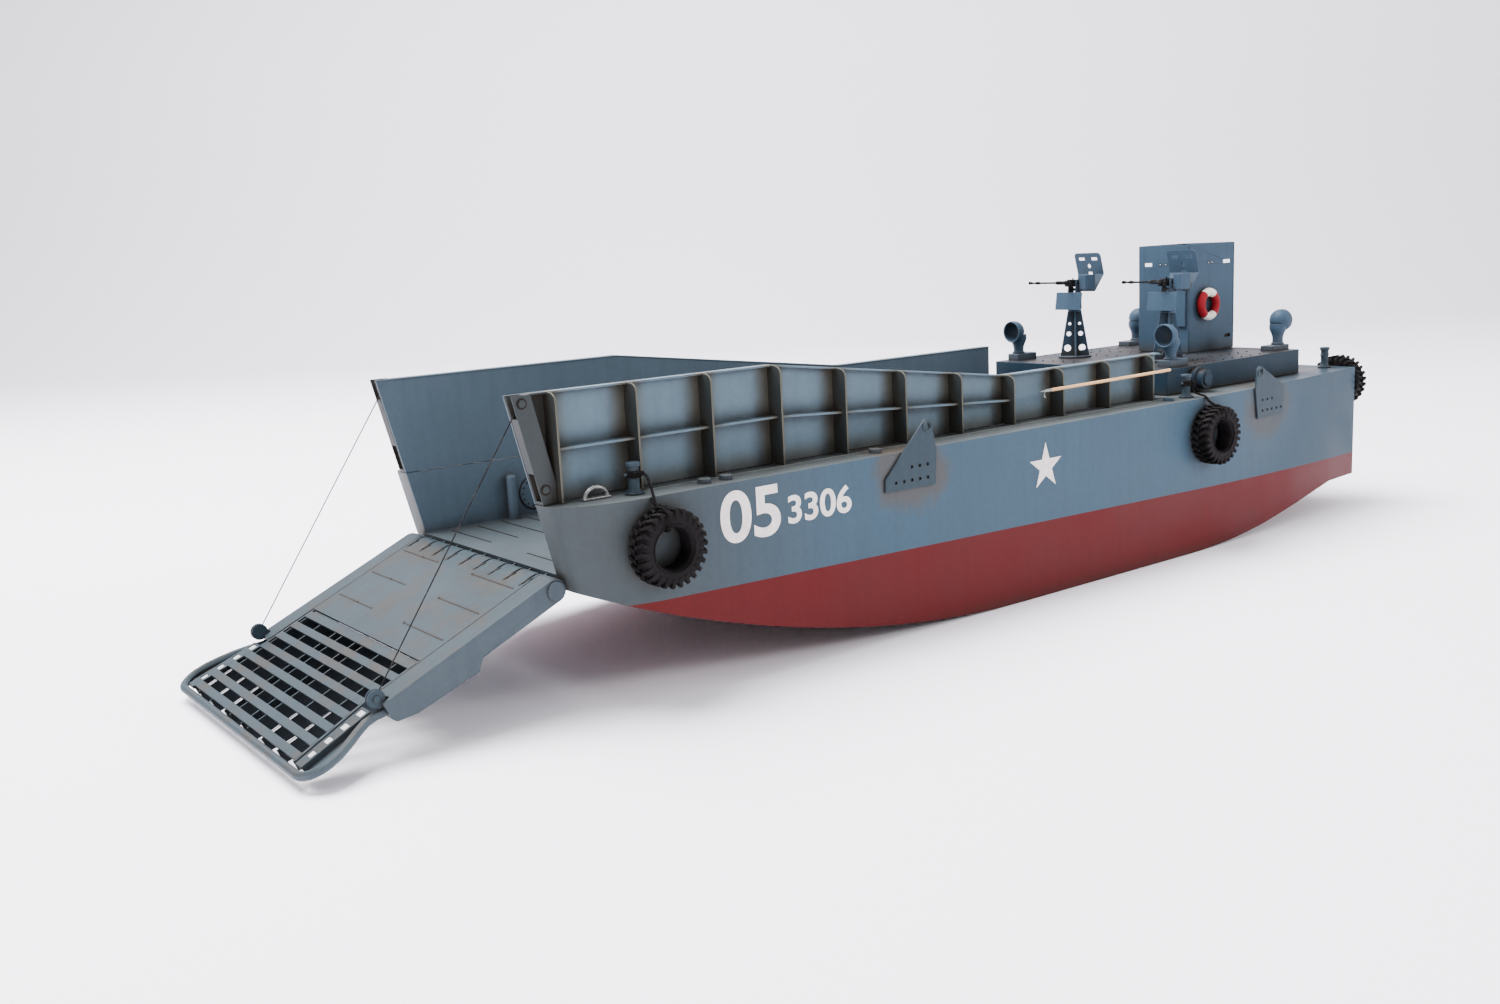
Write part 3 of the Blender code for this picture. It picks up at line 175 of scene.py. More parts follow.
# %% Define the node helpers
GLOSS, NOISE_ROUGHNESS = 0.08, 0.55


class Finish:
    """A material whose nodes are added step by step."""

    def __init__(self, name, roughness=0.5, metallic=0.0):
        self.material = bpy.data.materials.new(name)
        self.material.use_nodes = True
        self.tree = self.material.node_tree
        self.shader = self.tree.nodes["Principled BSDF"]
        for key, value in (("Roughness", roughness), ("Metallic", metallic), ("Specular IOR Level", GLOSS)):
            self.shader.inputs[key].default_value = value
        spot = self.tree.nodes.new("ShaderNodeTexCoord")
        self.place, self.normal = spot.outputs["Object"], spot.outputs["Normal"]

    def fill(self, socket, value):
        """Links a socket to another one, or sets it."""
        if isinstance(value, bpy.types.NodeSocket):
            self.tree.links.new(value, socket)
        else:
            socket.default_value = value

    def node(self, kind, settings=None, **inputs):
        """Adds a node and fills its inputs, each given by name or as i and a number."""
        made = self.tree.nodes.new(f"ShaderNode{kind}")
        for key, value in (settings or {}).items():
            setattr(made, key, value)
        for key, value in inputs.items():
            self.fill(made.inputs[int(key[1:])] if key[1:].isdigit() else made.inputs[key], value)
        return made

    def feed(self, key, value):
        """Fills one of the shader's own inputs."""
        self.fill(self.shader.inputs[key], value)

    def parts(self, vector):
        """The three parts of a vector."""
        return self.node("SeparateXYZ", None, Vector=vector).outputs

    def vector(self, operation, first, **inputs):
        return self.node("VectorMath", {"operation": operation}, i0=first, **inputs).outputs

    def scaled(self, colour, share):
        """A colour made paler or darker by a share."""
        return self.vector("SCALE", colour, Scale=share)[0]

    def maths(self, operation, first, second=0.0, third=0.0):
        """One arithmetic step; third is what MULTIPLY_ADD adds."""
        made = self.node("Math", {"operation": operation}, i0=first, i1=second)
        if operation == "MULTIPLY_ADD":
            made.inputs[2].default_value = third
        return made.outputs[0]

    def times(self, first, second):
        return self.maths("MULTIPLY", first, second)

    def greatest(self, first, second):
        return self.maths("MAXIMUM", first, second)

    def unsigned(self, value):
        """The value without its sign."""
        return self.maths("ABSOLUTE", value)

    def minus(self, first, second):
        return self.maths("SUBTRACT", first, second)

    def under(self, value, limit):
        return self.maths("LESS_THAN", value, limit)

    def over(self, value, limit):
        return self.maths("GREATER_THAN", value, limit)

    def step(self, value, low, high, out_low=0.0, out_high=1.0):
        """A smooth step between two values."""
        return self.node("MapRange", {"interpolation_type": "SMOOTHSTEP"}, i0=value, i1=low, i2=high,
                         i3=out_low, i4=out_high).outputs[0]

    def close_to(self, value, centre, near, far):
        """One where a value is at a centre, falling to nothing away from it."""
        return self.step(self.unsigned(self.minus(value, centre)), near, far, 1.0, 0.0)

    def noise(self, scale, detail=3.0, place=None):
        """A noise at the piece's own place, or at another that is given."""
        return self.node("TexNoise", None, Vector=self.place if place is None else place, Scale=scale,
                         Detail=detail, Roughness=NOISE_ROUGHNESS).outputs["Fac"]

    def speckle(self, scale, detail, *steps):
        """A noise drawn between two values by a smooth step."""
        return self.step(self.noise(scale, detail), *steps)

    def blend(self, share, first, second):
        """Mixes two colours by a share."""
        made = self.node("Mix", {"data_type": "RGBA"}, Factor=share)
        for socket, colour in zip((made.inputs[6], made.inputs[7]), (first, second)):
            self.fill(socket, colour if isinstance(colour, bpy.types.NodeSocket) else (*colour, 1))
        return made.outputs[2]

    def corners(self, reach, *steps):
        """A smooth step of how much open air lies round a point."""
        air = self.node("AmbientOcclusion", {"samples": 6}, Distance=reach).outputs["AO"]
        return self.step(air, *steps)

    def bump(self, strength, distance, height):
        self.feed("Normal", self.node("Bump", None, Strength=strength, Distance=distance,
                                      Height=height).outputs[0])


# %% [markdown]
# ## Weathered blue-grey paint
#
# The real model is sprayed in a satin blue-grey, with faint streaks that run down. Where plates
# meet it is darker and browner, partly the model's own wash and grime and partly painted shade,
# and it is paler and bluer in the open. Ambient occlusion finds the corners, and noises break up the
# rest. Each part of the craft has its own tone.

# %% Make the paint
# A dark brown for grime, and for painted shade in corners
SHADE_AND_GRIME_TONE = (0.026, 0.021, 0.016)
STREAK_SCALE = (150.0, 150.0, 9.0)


def paint_layers(mix, tone, grime=0.75, reach=0.010, rough=0.46, mottle=0.5, bump=0.10):
    """Lays tone, mottling, streaks and corner grime with painted shade into a finish."""
    broad, fine = mix.noise(14.0, 4.0), mix.noise(260.0)
    stretched = mix.node("Mapping", None, Vector=mix.place, Scale=STREAK_SCALE).outputs[0]
    streaks = mix.noise(1.0, 3.0, stretched)
    bright = mix.maths("MULTIPLY_ADD", mix.step(broad, 0.3, 0.7), 0.30 * mottle, 1.0 - 0.15 * mottle)
    bright = mix.times(bright, mix.step(streaks, 0.35, 0.75, 1.0 + 0.05 * mottle, 1.0 - 0.12 * mottle))
    bright = mix.times(bright, mix.step(fine, 0.3, 0.7, 0.97, 1.03))
    # Corners with little open air round them go dark brown: partly grime, partly painted shade
    corner_shade_and_grime = mix.corners(reach, 0.35, 0.95, grime, 0.0)
    corner_shade_and_grime = mix.times(corner_shade_and_grime, mix.speckle(55.0, 4.0, 0.25, 0.65, 0.55, 1.0))
    mix.feed("Base Color", mix.blend(corner_shade_and_grime, mix.scaled(tone, bright), SHADE_AND_GRIME_TONE))
    mix.feed("Roughness", mix.step(broad, 0.3, 0.7, rough - 0.06, rough + 0.08))
    mix.bump(bump, 0.0006, fine)
    return mix.material


def paint(name, tone, **layers):
    """A paint of one tone."""
    return paint_layers(Finish(name), tone, **layers)


TRUNK_FOOT_Z, TRUNK_TOP_Z = 0.1343, 0.1570
HOUSE_TONE, TRUNK_TONE = (0.0315, 0.0545, 0.0820), (0.0110, 0.0225, 0.0350)
TRUNK_TOP_TONE, HOUSE_FOOT_TONE = (0.020, 0.019, 0.019), (0.050, 0.042, 0.032)


def house_finish(lift=1.0):
    """The trunk's and deckhouse's coat, browned on the flat and, with grime and painted shade, at the feet;
    lift makes it paler.
    """
    mix = Finish("deckhouse_coat" if lift == 1 else "deckhouse_edge")
    z, up = mix.parts(mix.place)[2], mix.parts(mix.normal)[2]
    low = mix.under(z, TRUNK_TOP_Z + 0.0012)
    flat = mix.times(mix.step(up, 0.6, 0.9), low)
    brown = mix.speckle(22.0, 4.0, 0.35, 0.6, 0.35, 1.0)
    tone = mix.blend(low, HOUSE_TONE, TRUNK_TONE)
    tone = mix.blend(mix.times(flat, brown), tone, TRUNK_TOP_TONE)
    # Browner towards the deckhouse's foot on the trunk top: partly grime, partly painted shade
    foot_grime_and_shade = mix.step(z, TRUNK_TOP_Z, TRUNK_TOP_Z + 0.014, 0.5, 0.0)
    foot_grime_and_shade = mix.times(foot_grime_and_shade, mix.over(z, TRUNK_TOP_Z + 0.0012))
    tone = mix.scaled(mix.blend(mix.times(foot_grime_and_shade, brown), tone, HOUSE_FOOT_TONE), lift)
    # A dark band at the trunk's foot on the deck: partly grime, partly painted shade
    foot = mix.step(z, TRUNK_FOOT_Z + 0.0006, TRUNK_FOOT_Z + 0.0014, 0.9, 0.0)
    return paint_layers(mix, mix.blend(foot, tone, SHADE_AND_GRIME_TONE), grime=0.85, reach=0.012)


FITTING_TONE = (0.0240, 0.0370, 0.0470)
FINISH = {
    "deckhouse_paint": house_finish(),
    "fitting_paint": paint("fitting_coat", FITTING_TONE, grime=0.8, reach=0.005),
}
print(len(FINISH), "paints so far")

# %% [markdown]
# ## Hull paint
#
# The hull is blue-grey above a sloping line and red-brown below it, greyer at the bow and darker at
# the stern. Brown stains bleed round the lifting plates, and the side deck has a fine tread.

# %% Make the hull paint
BLUE, RED = (0.0355, 0.0635, 0.0910), (0.073, 0.0056, 0.0063)
DECK_TONE, INNER_TONE = (0.0648, 0.0746, 0.0760), (0.063, 0.090, 0.115)
BOW_TONE, STERN_TONE = (0.041, 0.044, 0.041), (0.0170, 0.0338, 0.0505)
FLOOR_TONE = (0.0450, 0.0560, 0.0610)
STAIN_TONE, STAIN_PLACES = (0.0672, 0.0499, 0.0320), ((0.162, 0.116), (-0.286, 0.116))
STAIN_SHAPE = (1.0, 0.0, 1.25)
LINE_Z, LINE_SLOPE = 0.0594, 0.0211
DECK_Z, WELL_HALF = 0.134, 0.0962
TREAD_TURN = 2 * math.pi / 0.0034


def tread_dots(mix, x, y):
    """Fine dots in rows along the side deck."""
    dots = mix.times(mix.maths("SINE", mix.times(x, TREAD_TURN)), mix.maths("SINE", mix.times(y, TREAD_TURN)))
    dots = mix.times(mix.step(dots, 0.1, 0.5, 0.0, 0.75), mix.close_to(x, 0.092, 0.255, 0.257))
    return mix.times(dots, mix.close_to(mix.unsigned(y), 0.1195, 0.0068, 0.0074))


def stains(mix):
    """Brown stains round the lifting plates."""
    stain = 0.0
    for x, z in STAIN_PLACES:
        offset = mix.vector("SUBTRACT", mix.place, i1=(x, 0, z))[0]
        offset = mix.vector("MULTIPLY", offset, i1=STAIN_SHAPE)[0]
        reach = mix.vector("LENGTH", offset)["Value"]
        reach = mix.maths("ADD", reach, mix.speckle(40.0, 3.0, 0.3, 0.7, -0.006, 0.006))
        stain = mix.greatest(stain, mix.step(reach, 0.026, 0.042, 0.55, 0.0))
    return stain


def hull_finish(lift=1.0):
    """The two-tone hull coat; lift makes it paler for the edges."""
    mix = Finish("hull_coat" if lift == 1 else "hull_edge")
    x, y, z = mix.parts(mix.place)
    flat = mix.step(mix.parts(mix.normal)[2], 0.5, 0.8)
    upright, in_well = mix.minus(1.0, flat), mix.under(mix.unsigned(y), WELL_HALF)
    tone = mix.blend(flat, BLUE, DECK_TONE)
    tone = mix.blend(mix.times(tread_dots(mix, x, y), flat), tone, SHADE_AND_GRIME_TONE)
    tone = mix.blend(stains(mix), tone, STAIN_TONE)
    tone = mix.blend(mix.times(mix.step(x, 0.18, 0.42, 0.0, 0.8), upright), tone, BOW_TONE)
    tone = mix.blend(mix.step(x, -0.20, -0.42, 0.0, 0.8), tone, STERN_TONE)
    tone = mix.blend(mix.times(in_well, upright), tone, INNER_TONE)
    tone = mix.blend(mix.times(in_well, flat), tone, FLOOR_TONE)
    line = mix.maths("MULTIPLY_ADD", x, LINE_SLOPE, LINE_Z)
    tone = mix.blend(mix.step(mix.minus(line, z), -0.0001, 0.0001), tone, RED)
    return paint_layers(mix, mix.scaled(tone, lift), grime=0.75, reach=0.014, rough=0.44, mottle=0.35,
                        bump=0.05)


FINISH["hull_paint"] = hull_finish()

# %% [markdown]
# ## Bulwark paint
#
# Between two ribs each bulwark panel is bluest in the middle and turns grey-brown towards the ribs,
# as pre-shading does on the model. The ribs' forward faces, turned away from the light, are nearly
# black, partly with wash and partly as painted shade, and the posts at the bow are painted darker
# as shade. The distance to the nearest rib comes from the rib spacing.

# %% Make the bulwark paint
RIB_FIRST_X, RIB_PITCH = 0.4298, 0.05755
POST_REAR_X, RIB_WASH_AND_SHADE_TONE = 0.4307, (0.010, 0.015, 0.018)
BAY_TONE, BAY_EDGE_TONE = (0.0830, 0.1230, 0.1540), (0.0760, 0.0740, 0.0580)
POST_SHADE_TONE = (0.0290, 0.0340, 0.0355)


def bulwark_finish(lift=1.0):
    """The bay-by-bay shaded coat; lift makes it paler for the edges."""
    mix = Finish("bulwark_coat" if lift == 1 else "bulwark_edge")
    x, y, z = mix.parts(mix.place)
    bay = mix.maths("FRACT", mix.maths("MULTIPLY_ADD", x, 1 / RIB_PITCH, 20 - RIB_FIRST_X / RIB_PITCH))
    near = mix.times(mix.unsigned(mix.minus(bay, 0.5)), 2.0)
    outside = mix.step(mix.unsigned(y), 0.0960, 0.0970)
    near = mix.times(mix.step(near, 0.35, 1.0), outside)
    low = mix.times(mix.step(z, 0.150, 0.1345), outside)
    near = mix.greatest(near, mix.times(low, 0.6))
    tone = mix.blend(outside, INNER_TONE, mix.blend(near, BAY_TONE, BAY_EDGE_TONE))
    # Painted shade: the posts at the bow are darker
    tone = mix.blend(mix.times(mix.over(x, POST_REAR_X), outside), tone, POST_SHADE_TONE)
    # Partly wash, partly painted shade: the ribs' forward faces, turned away from the light, go nearly black
    shaded = mix.times(mix.step(mix.parts(mix.normal)[0], 0.5, 0.8, 0.0, 0.85), outside)
    tone = mix.blend(mix.times(shaded, mix.under(x, POST_REAR_X)), tone, RIB_WASH_AND_SHADE_TONE)
    return paint_layers(mix, mix.scaled(tone, lift), grime=0.9, reach=0.014, rough=0.48, mottle=0.4)


FINISH["bulwark_paint"] = bulwark_finish()

# %% [markdown]
# ## Ramp paint
#
# The ramp lies at a slope, so its pattern is laid in its own directions: along it, to port and square
# to it. Dark wash fills the weld lines and the gaps beside the plate, painted shade darkens the
# cells of the grating, and the flat steel carries brown tints.

# %% Make the ramp paint
RAMP_PIVOT, RAMP_SLOPE = (0.4370, 0.0, 0.0805), math.radians(24.2)
RAMP_UP = (math.sin(RAMP_SLOPE), 0, math.cos(RAMP_SLOPE))
RAMP_TOP_W, PLATE_END_U, GRATING_END_U = 0.0075, 0.0885, 0.1808
PLATE_HALF, CELL_HALF = 0.0885, 0.0866
FLARE_FIRST_U, FLARE = 0.1248, 0.17
WELDS_U = (0.0148, 0.0418, 0.0692)
RAMP_TONE, RAMP_BROWN = (0.0275, 0.0390, 0.0460), (0.0390, 0.0355, 0.0300)
RAMP_SIDE_TONE = (0.045, 0.059, 0.069)
WELD_TONE, CELL_SHADE_AND_SEAM_TONE = (0.022, 0.017, 0.012), (0.008, 0.011, 0.014)


def ramp_finish(lift=1.0):
    """The ramp's coat; lift makes it paler for the edges."""
    mix = Finish("ramp_coat" if lift == 1 else "ramp_edge")
    moved = mix.vector("SUBTRACT", mix.place, i1=RAMP_PIVOT)[0]
    u, y, w = mix.parts(mix.node("Mapping", None, Vector=moved, Rotation=(0, -RAMP_SLOPE, 0)).outputs[0])
    out = mix.unsigned(y)
    brown = mix.speckle(34.0, 4.0, 0.45, 0.68, 0.0, 0.8)
    tone = mix.scaled(mix.blend(brown, RAMP_TONE, RAMP_BROWN), lift)
    weld = 0.0
    for weld_u in WELDS_U:
        weld = mix.greatest(weld, mix.close_to(u, weld_u, 0.0005, 0.0009))
    weld = mix.times(weld, mix.close_to(out, 0.0545, 0.0287, 0.0291))
    seam = mix.times(mix.close_to(out, PLATE_HALF, 0.0004, 0.0008), mix.under(u, PLATE_END_U))
    flare = mix.greatest(mix.minus(u, FLARE_FIRST_U), 0.0)
    cell_edge = mix.maths("MULTIPLY_ADD", flare, FLARE, CELL_HALF)
    steep = mix.under(mix.vector("DOT_PRODUCT", mix.normal, i1=RAMP_UP)["Value"], 0.6)
    tone = mix.blend(steep, tone, RAMP_SIDE_TONE)
    # Painted shade in the grating's cells: the webs' sides and all below the planks' tops go nearly black
    cell_shade = mix.greatest(mix.step(w, 0.0048, 0.0062, 1.0, 0.0), steep)
    cell_shade = mix.times(cell_shade, mix.under(out, cell_edge))
    cell_shade = mix.times(cell_shade, mix.close_to(u, (PLATE_END_U + GRATING_END_U) / 2, 0.0460, 0.0463))
    tone = mix.blend(mix.times(weld, 0.85), tone, WELD_TONE)
    tone = mix.blend(mix.greatest(mix.times(cell_shade, 0.93), seam), tone, CELL_SHADE_AND_SEAM_TONE)
    return paint_layers(mix, tone, grime=0.6, reach=0.006)


FINISH["ramp_paint"] = ramp_finish()

# %% [markdown]
# ## Rubber, metals, wood and canvas
#
# The fenders are rubber, the guns black steel, the boat hook a varnished pole and the life rings
# painted canvas. Each is two colours with a noise in them and, where it shows, a roughness that
# follows the noise and a little relief. The wood's noise is stretched along the pole for a grain.

# %% Make the other finishes
RUBBER_DARK, RUBBER_DUST = (0.0028, 0.0023, 0.0023), (0.0108, 0.0088, 0.0096)
WOOD_PALE, WOOD_DARK, GRAIN_SCALE = (0.66, 0.42, 0.22), (0.46, 0.25, 0.11), (40.0, 1500.0, 1500.0)
RING_CENTRE = (-0.3368, 0.0, 0.2028)
RING_RED, RING_WHITE = (0.2300, 0.0090, 0.0150), (0.6800, 0.6545, 0.5950)


def rubber_finish():
    """Brown-black dusty rubber, kept dark in its crevices as painted shade."""
    mix = Finish("tyre_rubber_coat", 0.8)
    # Dust shows where the rubber is open to the air, and the crevices stay dark as painted shade
    dust_and_shade = mix.times(mix.speckle(90.0, 5.0, 0.35, 0.75), mix.corners(0.003, 0.5, 1.0, 0.2, 0.8))
    mix.feed("Base Color", mix.blend(dust_and_shade, RUBBER_DARK, RUBBER_DUST))
    mix.feed("Roughness", mix.step(dust_and_shade, 0.0, 1.0, 0.62, 0.88))
    mix.bump(0.25, 0.0003, mix.noise(700.0))
    return mix.material


def rubbed_finish(name, dark, bright, roughness, metallic, scale):
    """Metal or rope with brighter rubbed patches."""
    mix = Finish(name, roughness, metallic)
    rub = mix.speckle(scale, 4.0, 0.45, 0.75)
    mix.feed("Base Color", mix.blend(rub, dark, bright))
    mix.feed("Roughness", mix.step(rub, 0.0, 1.0, roughness + 0.08, roughness - 0.08))
    return mix.material


def wood_finish():
    """Pale wood with grain along the pole."""
    mix = Finish("pole_wood_grain", 0.45)
    grain = mix.node("Mapping", None, Vector=mix.place, Scale=GRAIN_SCALE).outputs[0]
    mix.feed("Base Color", mix.blend(mix.step(mix.noise(1.0, 4.0, grain), 0.35, 0.7), WOOD_PALE, WOOD_DARK))
    return mix.material


def ring_finish():
    """Cork ring canvas: white above and below, red on both sides."""
    mix = Finish("ring_canvas", 0.55)
    x, y, z = mix.parts(mix.vector("SUBTRACT", mix.place, i1=RING_CENTRE)[0])
    white = mix.step(mix.maths("ARCTAN2", mix.unsigned(z), mix.unsigned(x)), 0.93, 0.97)
    tone = mix.blend(white, RING_RED, RING_WHITE)
    mix.feed("Base Color", mix.scaled(tone, mix.speckle(220.0, 4.0, 0.3, 0.7, 0.86, 1.0)))
    mix.bump(0.3, 0.0002, mix.noise(1500.0, 2.0))
    return mix.material


FINISH["tyre_rubber"] = rubber_finish()
# Slot, material, dark and bright colour, roughness, metallic share and how fine the rubbed patches are
RUBBED = (
    ("gun_black", "gun_metal", (0.006, 0.006, 0.007), (0.030, 0.028, 0.026), 0.42, 0.4, 300.0),
    ("cable_steel", "cable_wire", (0.008, 0.008, 0.009), (0.030, 0.027, 0.025), 0.55, 0.1, 300.0),
    ("propeller_bronze", "propeller_metal", (0.42, 0.25, 0.08), (0.62, 0.42, 0.16), 0.30, 1.0, 90.0),
    ("bare_steel", "bare_steel_metal", (0.16, 0.16, 0.16), (0.42, 0.41, 0.39), 0.40, 0.8, 500.0),
    ("rope", "rope_fibre", (0.004, 0.0035, 0.0035), (0.014, 0.012, 0.011), 0.8, 0.0, 900.0),
)
for slot, *values in RUBBED:
    FINISH[slot] = rubbed_finish(*values)
FINISH["pole_wood"] = wood_finish()
FINISH["ring_white"] = ring_finish()
for node_name, obj in NODES.items():
    obj.data.materials.clear()
    obj.data.materials.append(FINISH[SLOT_OF[node_name]])
print(len(FINISH), "finishes")

# %% [markdown]
# ## Rubbed and highlighted edges
#
# Handling rubs a painted edge paler, and a rounded edge catches the light, so the paler edges are
# partly wear and partly painted highlight. Each paint is made a second time with a lift, and the
# bevels' narrow faces take it: this follows every corner by itself, where a painted mask would not.

# %% Make the rubbed and highlighted edge coats
EDGE_WEAR_AND_HIGHLIGHT_TONE = tuple(1.45 * part for part in FITTING_TONE)
WORN_AND_HIGHLIGHTED_COATS = {
    "ramp_paint": ramp_finish(1.35),
    "deckhouse_paint": house_finish(1.4),
    "fitting_paint": paint("fitting_edge", EDGE_WEAR_AND_HIGHLIGHT_TONE, grime=0.3, reach=0.003),
    "hull_paint": hull_finish(1.3),
    "bulwark_paint": bulwark_finish(1.3),
}

# %% [markdown]
# ## Shaping helpers
#
# Every new piece starts as a primitive and is shaped in edit mode. A helper selects one object
# alone, because an operator acts on all that is selected. Another applies a modifier, and a third
# puts a piece's place into its mesh, as the frame's own pieces have it. Round fittings are pushed
# up from a disc and rods are curves with a bevel, because both stay easy to change.

# %% Define the shaping helpers
def only(obj):
    """Selects one object and nothing else."""
    bpy.ops.object.select_all(action="DESELECT")
    obj.select_set(True)
    bpy.context.view_layer.objects.active = obj
    return obj


def editing(obj, mode="VERT"):
    """Opens an object in edit mode with all of it selected."""
    only(obj)
    bpy.ops.object.mode_set(mode="EDIT")
    bpy.ops.mesh.select_mode(type=mode)
    bpy.ops.mesh.select_all(action="SELECT")


def modify(obj, kind, **settings):
    """Adds a modifier, sets it and applies it."""
    only(obj)
    modifier = obj.modifiers.new(kind.lower(), kind)
    for key, value in settings.items():
        setattr(modifier, key, value)
    bpy.ops.object.modifier_apply(modifier=modifier.name)
    return obj


def settle(obj, name, matrix=None):
    """Moves a piece to its place, and puts that place in its mesh."""
    bpy.context.view_layer.update()
    obj.name = obj.data.name = name
    if matrix is not None:
        obj.matrix_world = matrix @ obj.matrix_world
    only(obj)
    bpy.ops.object.transform_apply(location=True, rotation=True, scale=True)
    return obj


def smooth(obj, angle=35):
    """Smooth shading but for edges sharper than an angle."""
    only(obj)
    bpy.ops.object.shade_smooth_by_angle(angle=math.radians(angle))
    return obj


def facing(origin, direction):
    """The matrix that takes +Z to a direction, and the origin to a point."""
    turn = Vector((0, 0, 1)).rotation_difference(Vector(direction)).to_matrix().to_4x4()
    return Matrix.Translation(origin) @ turn


def turned(name, profile, origin, direction, sides=48, angle=35):
    """A disc pushed along its axis and scaled at each (height, radius) step of a profile."""
    bpy.ops.object.select_all(action="DESELECT")
    height, radius = profile[0]
    bpy.ops.mesh.primitive_circle_add(vertices=sides, radius=radius, fill_type="NGON",
                                      location=(0, 0, height))
    bpy.ops.object.mode_set(mode="EDIT")
    for next_height, next_radius in profile[1:]:
        bpy.ops.mesh.extrude_region_move(TRANSFORM_OT_translate={"value": (0, 0, next_height - height)})
        share = next_radius / radius
        bpy.ops.transform.resize(value=(share, share, 1))
        height, radius = next_height, next_radius
    bpy.ops.mesh.select_all(action="SELECT")
    bpy.ops.mesh.normals_make_consistent(inside=False)
    bpy.ops.object.mode_set(mode="OBJECT")
    return smooth(settle(bpy.context.object, name, facing(origin, direction)), angle)


def block(name, low, high, ease=0.0003, segments=2):
    """A cube scaled between two corners, with its edges beveled."""
    low, high = Vector(low), Vector(high)
    bpy.ops.object.select_all(action="DESELECT")
    bpy.ops.mesh.primitive_cube_add(size=1, location=(low + high) / 2)
    piece = bpy.context.object
    piece.scale = [abs(part) for part in high - low]
    settle(piece, name)
    editing(piece, "EDGE")
    bpy.ops.mesh.bevel(offset=ease, segments=segments, affect="EDGES")
    bpy.ops.object.mode_set(mode="OBJECT")
    return smooth(piece)


def torus(name, place, radius, tube_radius, steps=48, tube_steps=8, turn=(0, 0, 0)):
    """A ring of round bar."""
    bpy.ops.object.select_all(action="DESELECT")
    bpy.ops.mesh.primitive_torus_add(major_radius=radius, minor_radius=tube_radius, major_segments=steps,
                                     minor_segments=tube_steps, location=place, rotation=turn)
    return settle(bpy.context.object, name)


def use_tool(piece, tool, operation):
    """Unites a tool with a piece, or cuts it away."""
    modify(piece, "BOOLEAN", object=tool, operation=operation, solver="EXACT")
    bpy.data.objects.remove(tool)
    return piece


def joined(name, pieces):
    """Several pieces as one mesh."""
    bpy.ops.object.select_all(action="DESELECT")
    for piece in pieces:
        piece.select_set(True)
    bpy.context.view_layer.objects.active = pieces[0]
    bpy.ops.object.join()
    return settle(bpy.context.object, name)


def copied(piece, name, matrix):
    """A copy with its own mesh, moved by a matrix; a mirroring one gets its faces turned back."""
    mesh = piece.data.copy()
    mesh.transform(matrix)
    if matrix.determinant() < 0:
        mesh.flip_normals()
    mesh.name = name
    made = bpy.data.objects.new(name, mesh)
    bpy.context.collection.objects.link(made)
    return made


def bar(name, points, radius, resolution=4, cyclic=False):
    """A round bar along a line of points: a curve with a bevel, made a mesh."""
    curve = bpy.data.curves.new(name, "CURVE")
    curve.dimensions = "3D"
    curve.bevel_depth = radius
    curve.bevel_resolution = resolution
    curve.use_fill_caps = True
    spline = curve.splines.new("POLY")
    spline.points.add(len(points) - 1)
    spline.use_cyclic_u = cyclic
    for point, place_of in zip(spline.points, points):
        point.co = (*place_of, 1)
    made = bpy.data.objects.new(name, curve)
    bpy.context.collection.objects.link(made)
    only(made)
    bpy.ops.object.convert(target="MESH")
    return smooth(bpy.context.object, 40)


def coat(piece, finish):
    """Gives a piece one finish and no other."""
    piece.data.materials.clear()
    piece.data.materials.append(FINISH[finish])
    return piece


def dress(piece, slot, body, *nodes, finish=None):
    """Gives a piece its finish, the body that it rides, and the nodes that it stands for."""
    coat(piece, finish or slot)
    # The bevel's faces take the paler coat: partly wear, partly painted highlight
    if slot in WORN_AND_HIGHLIGHTED_COATS and not finish:
        piece.data.materials.append(WORN_AND_HIGHLIGHTED_COATS[slot])
    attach(piece, body)
    if nodes:
        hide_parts(*nodes)
    return piece


# %% [markdown]
# ## Look-out slots
#
# The pilothouse is looked out of through narrow slots, and in the photo light shows through them.
# Each is cut a little longer than in the CAD, by a block taken away before the edges are eased,
# because a bevel that is cut afterwards shades badly. The far walls' ones are longest.

# %% Open the look-out slots
TOOL_EASE = 0.00001
# Low and high corner of the slots in each wall
SLOT_CUTS = {
    "front": [((-0.3135, y - 0.0045, 0.2406), (-0.3070, y + 0.0045, 0.2440)) for y in (-0.0177, 0.0177)],
    "aft": [((-0.3880, y - 0.0064, 0.2394), (-0.3815, y + 0.0064, 0.2442)) for y in (-0.0198, 0.0198)],
    "port": [((-0.3790, 0.0245, 0.2406), (-0.3662, 0.0325, 0.2440)),
             ((-0.3788, 0.0245, 0.1682), (-0.3694, 0.0325, 0.1713))],
    "stbd": [((-0.3340, -0.0325, 0.2394), (-0.3178, -0.0245, 0.2442))],
}


def open_slots(panel, wall):
    """Cuts a wall's slots through a merged copy of it."""
    for low, high in SLOT_CUTS[wall]:
        use_tool(panel, block("slot_tool", low, high, TOOL_EASE, 1), "DIFFERENCE")


# %% [markdown]
# ## Gaps of the grating
#
# The outer half of the ramp is a grating of planks, whose gaps are as wide as the planks. The
# points on both edges of each plank are moved in, which needs no new faces.

# %% Narrow the planks
PLANK_FIRST_U, PLANK_PITCH, PLANK_WIDTH = 0.0902, 0.01175, 0.0074
PLANK_TRIM, EDGE_NEAR = 0.0009, 0.0001


def ramp_frame():
    """The matrix from the ramp's own frame to the craft's."""
    return Matrix.Translation(RAMP_PIVOT) @ Matrix.Rotation(RAMP_SLOPE, 4, "Y")


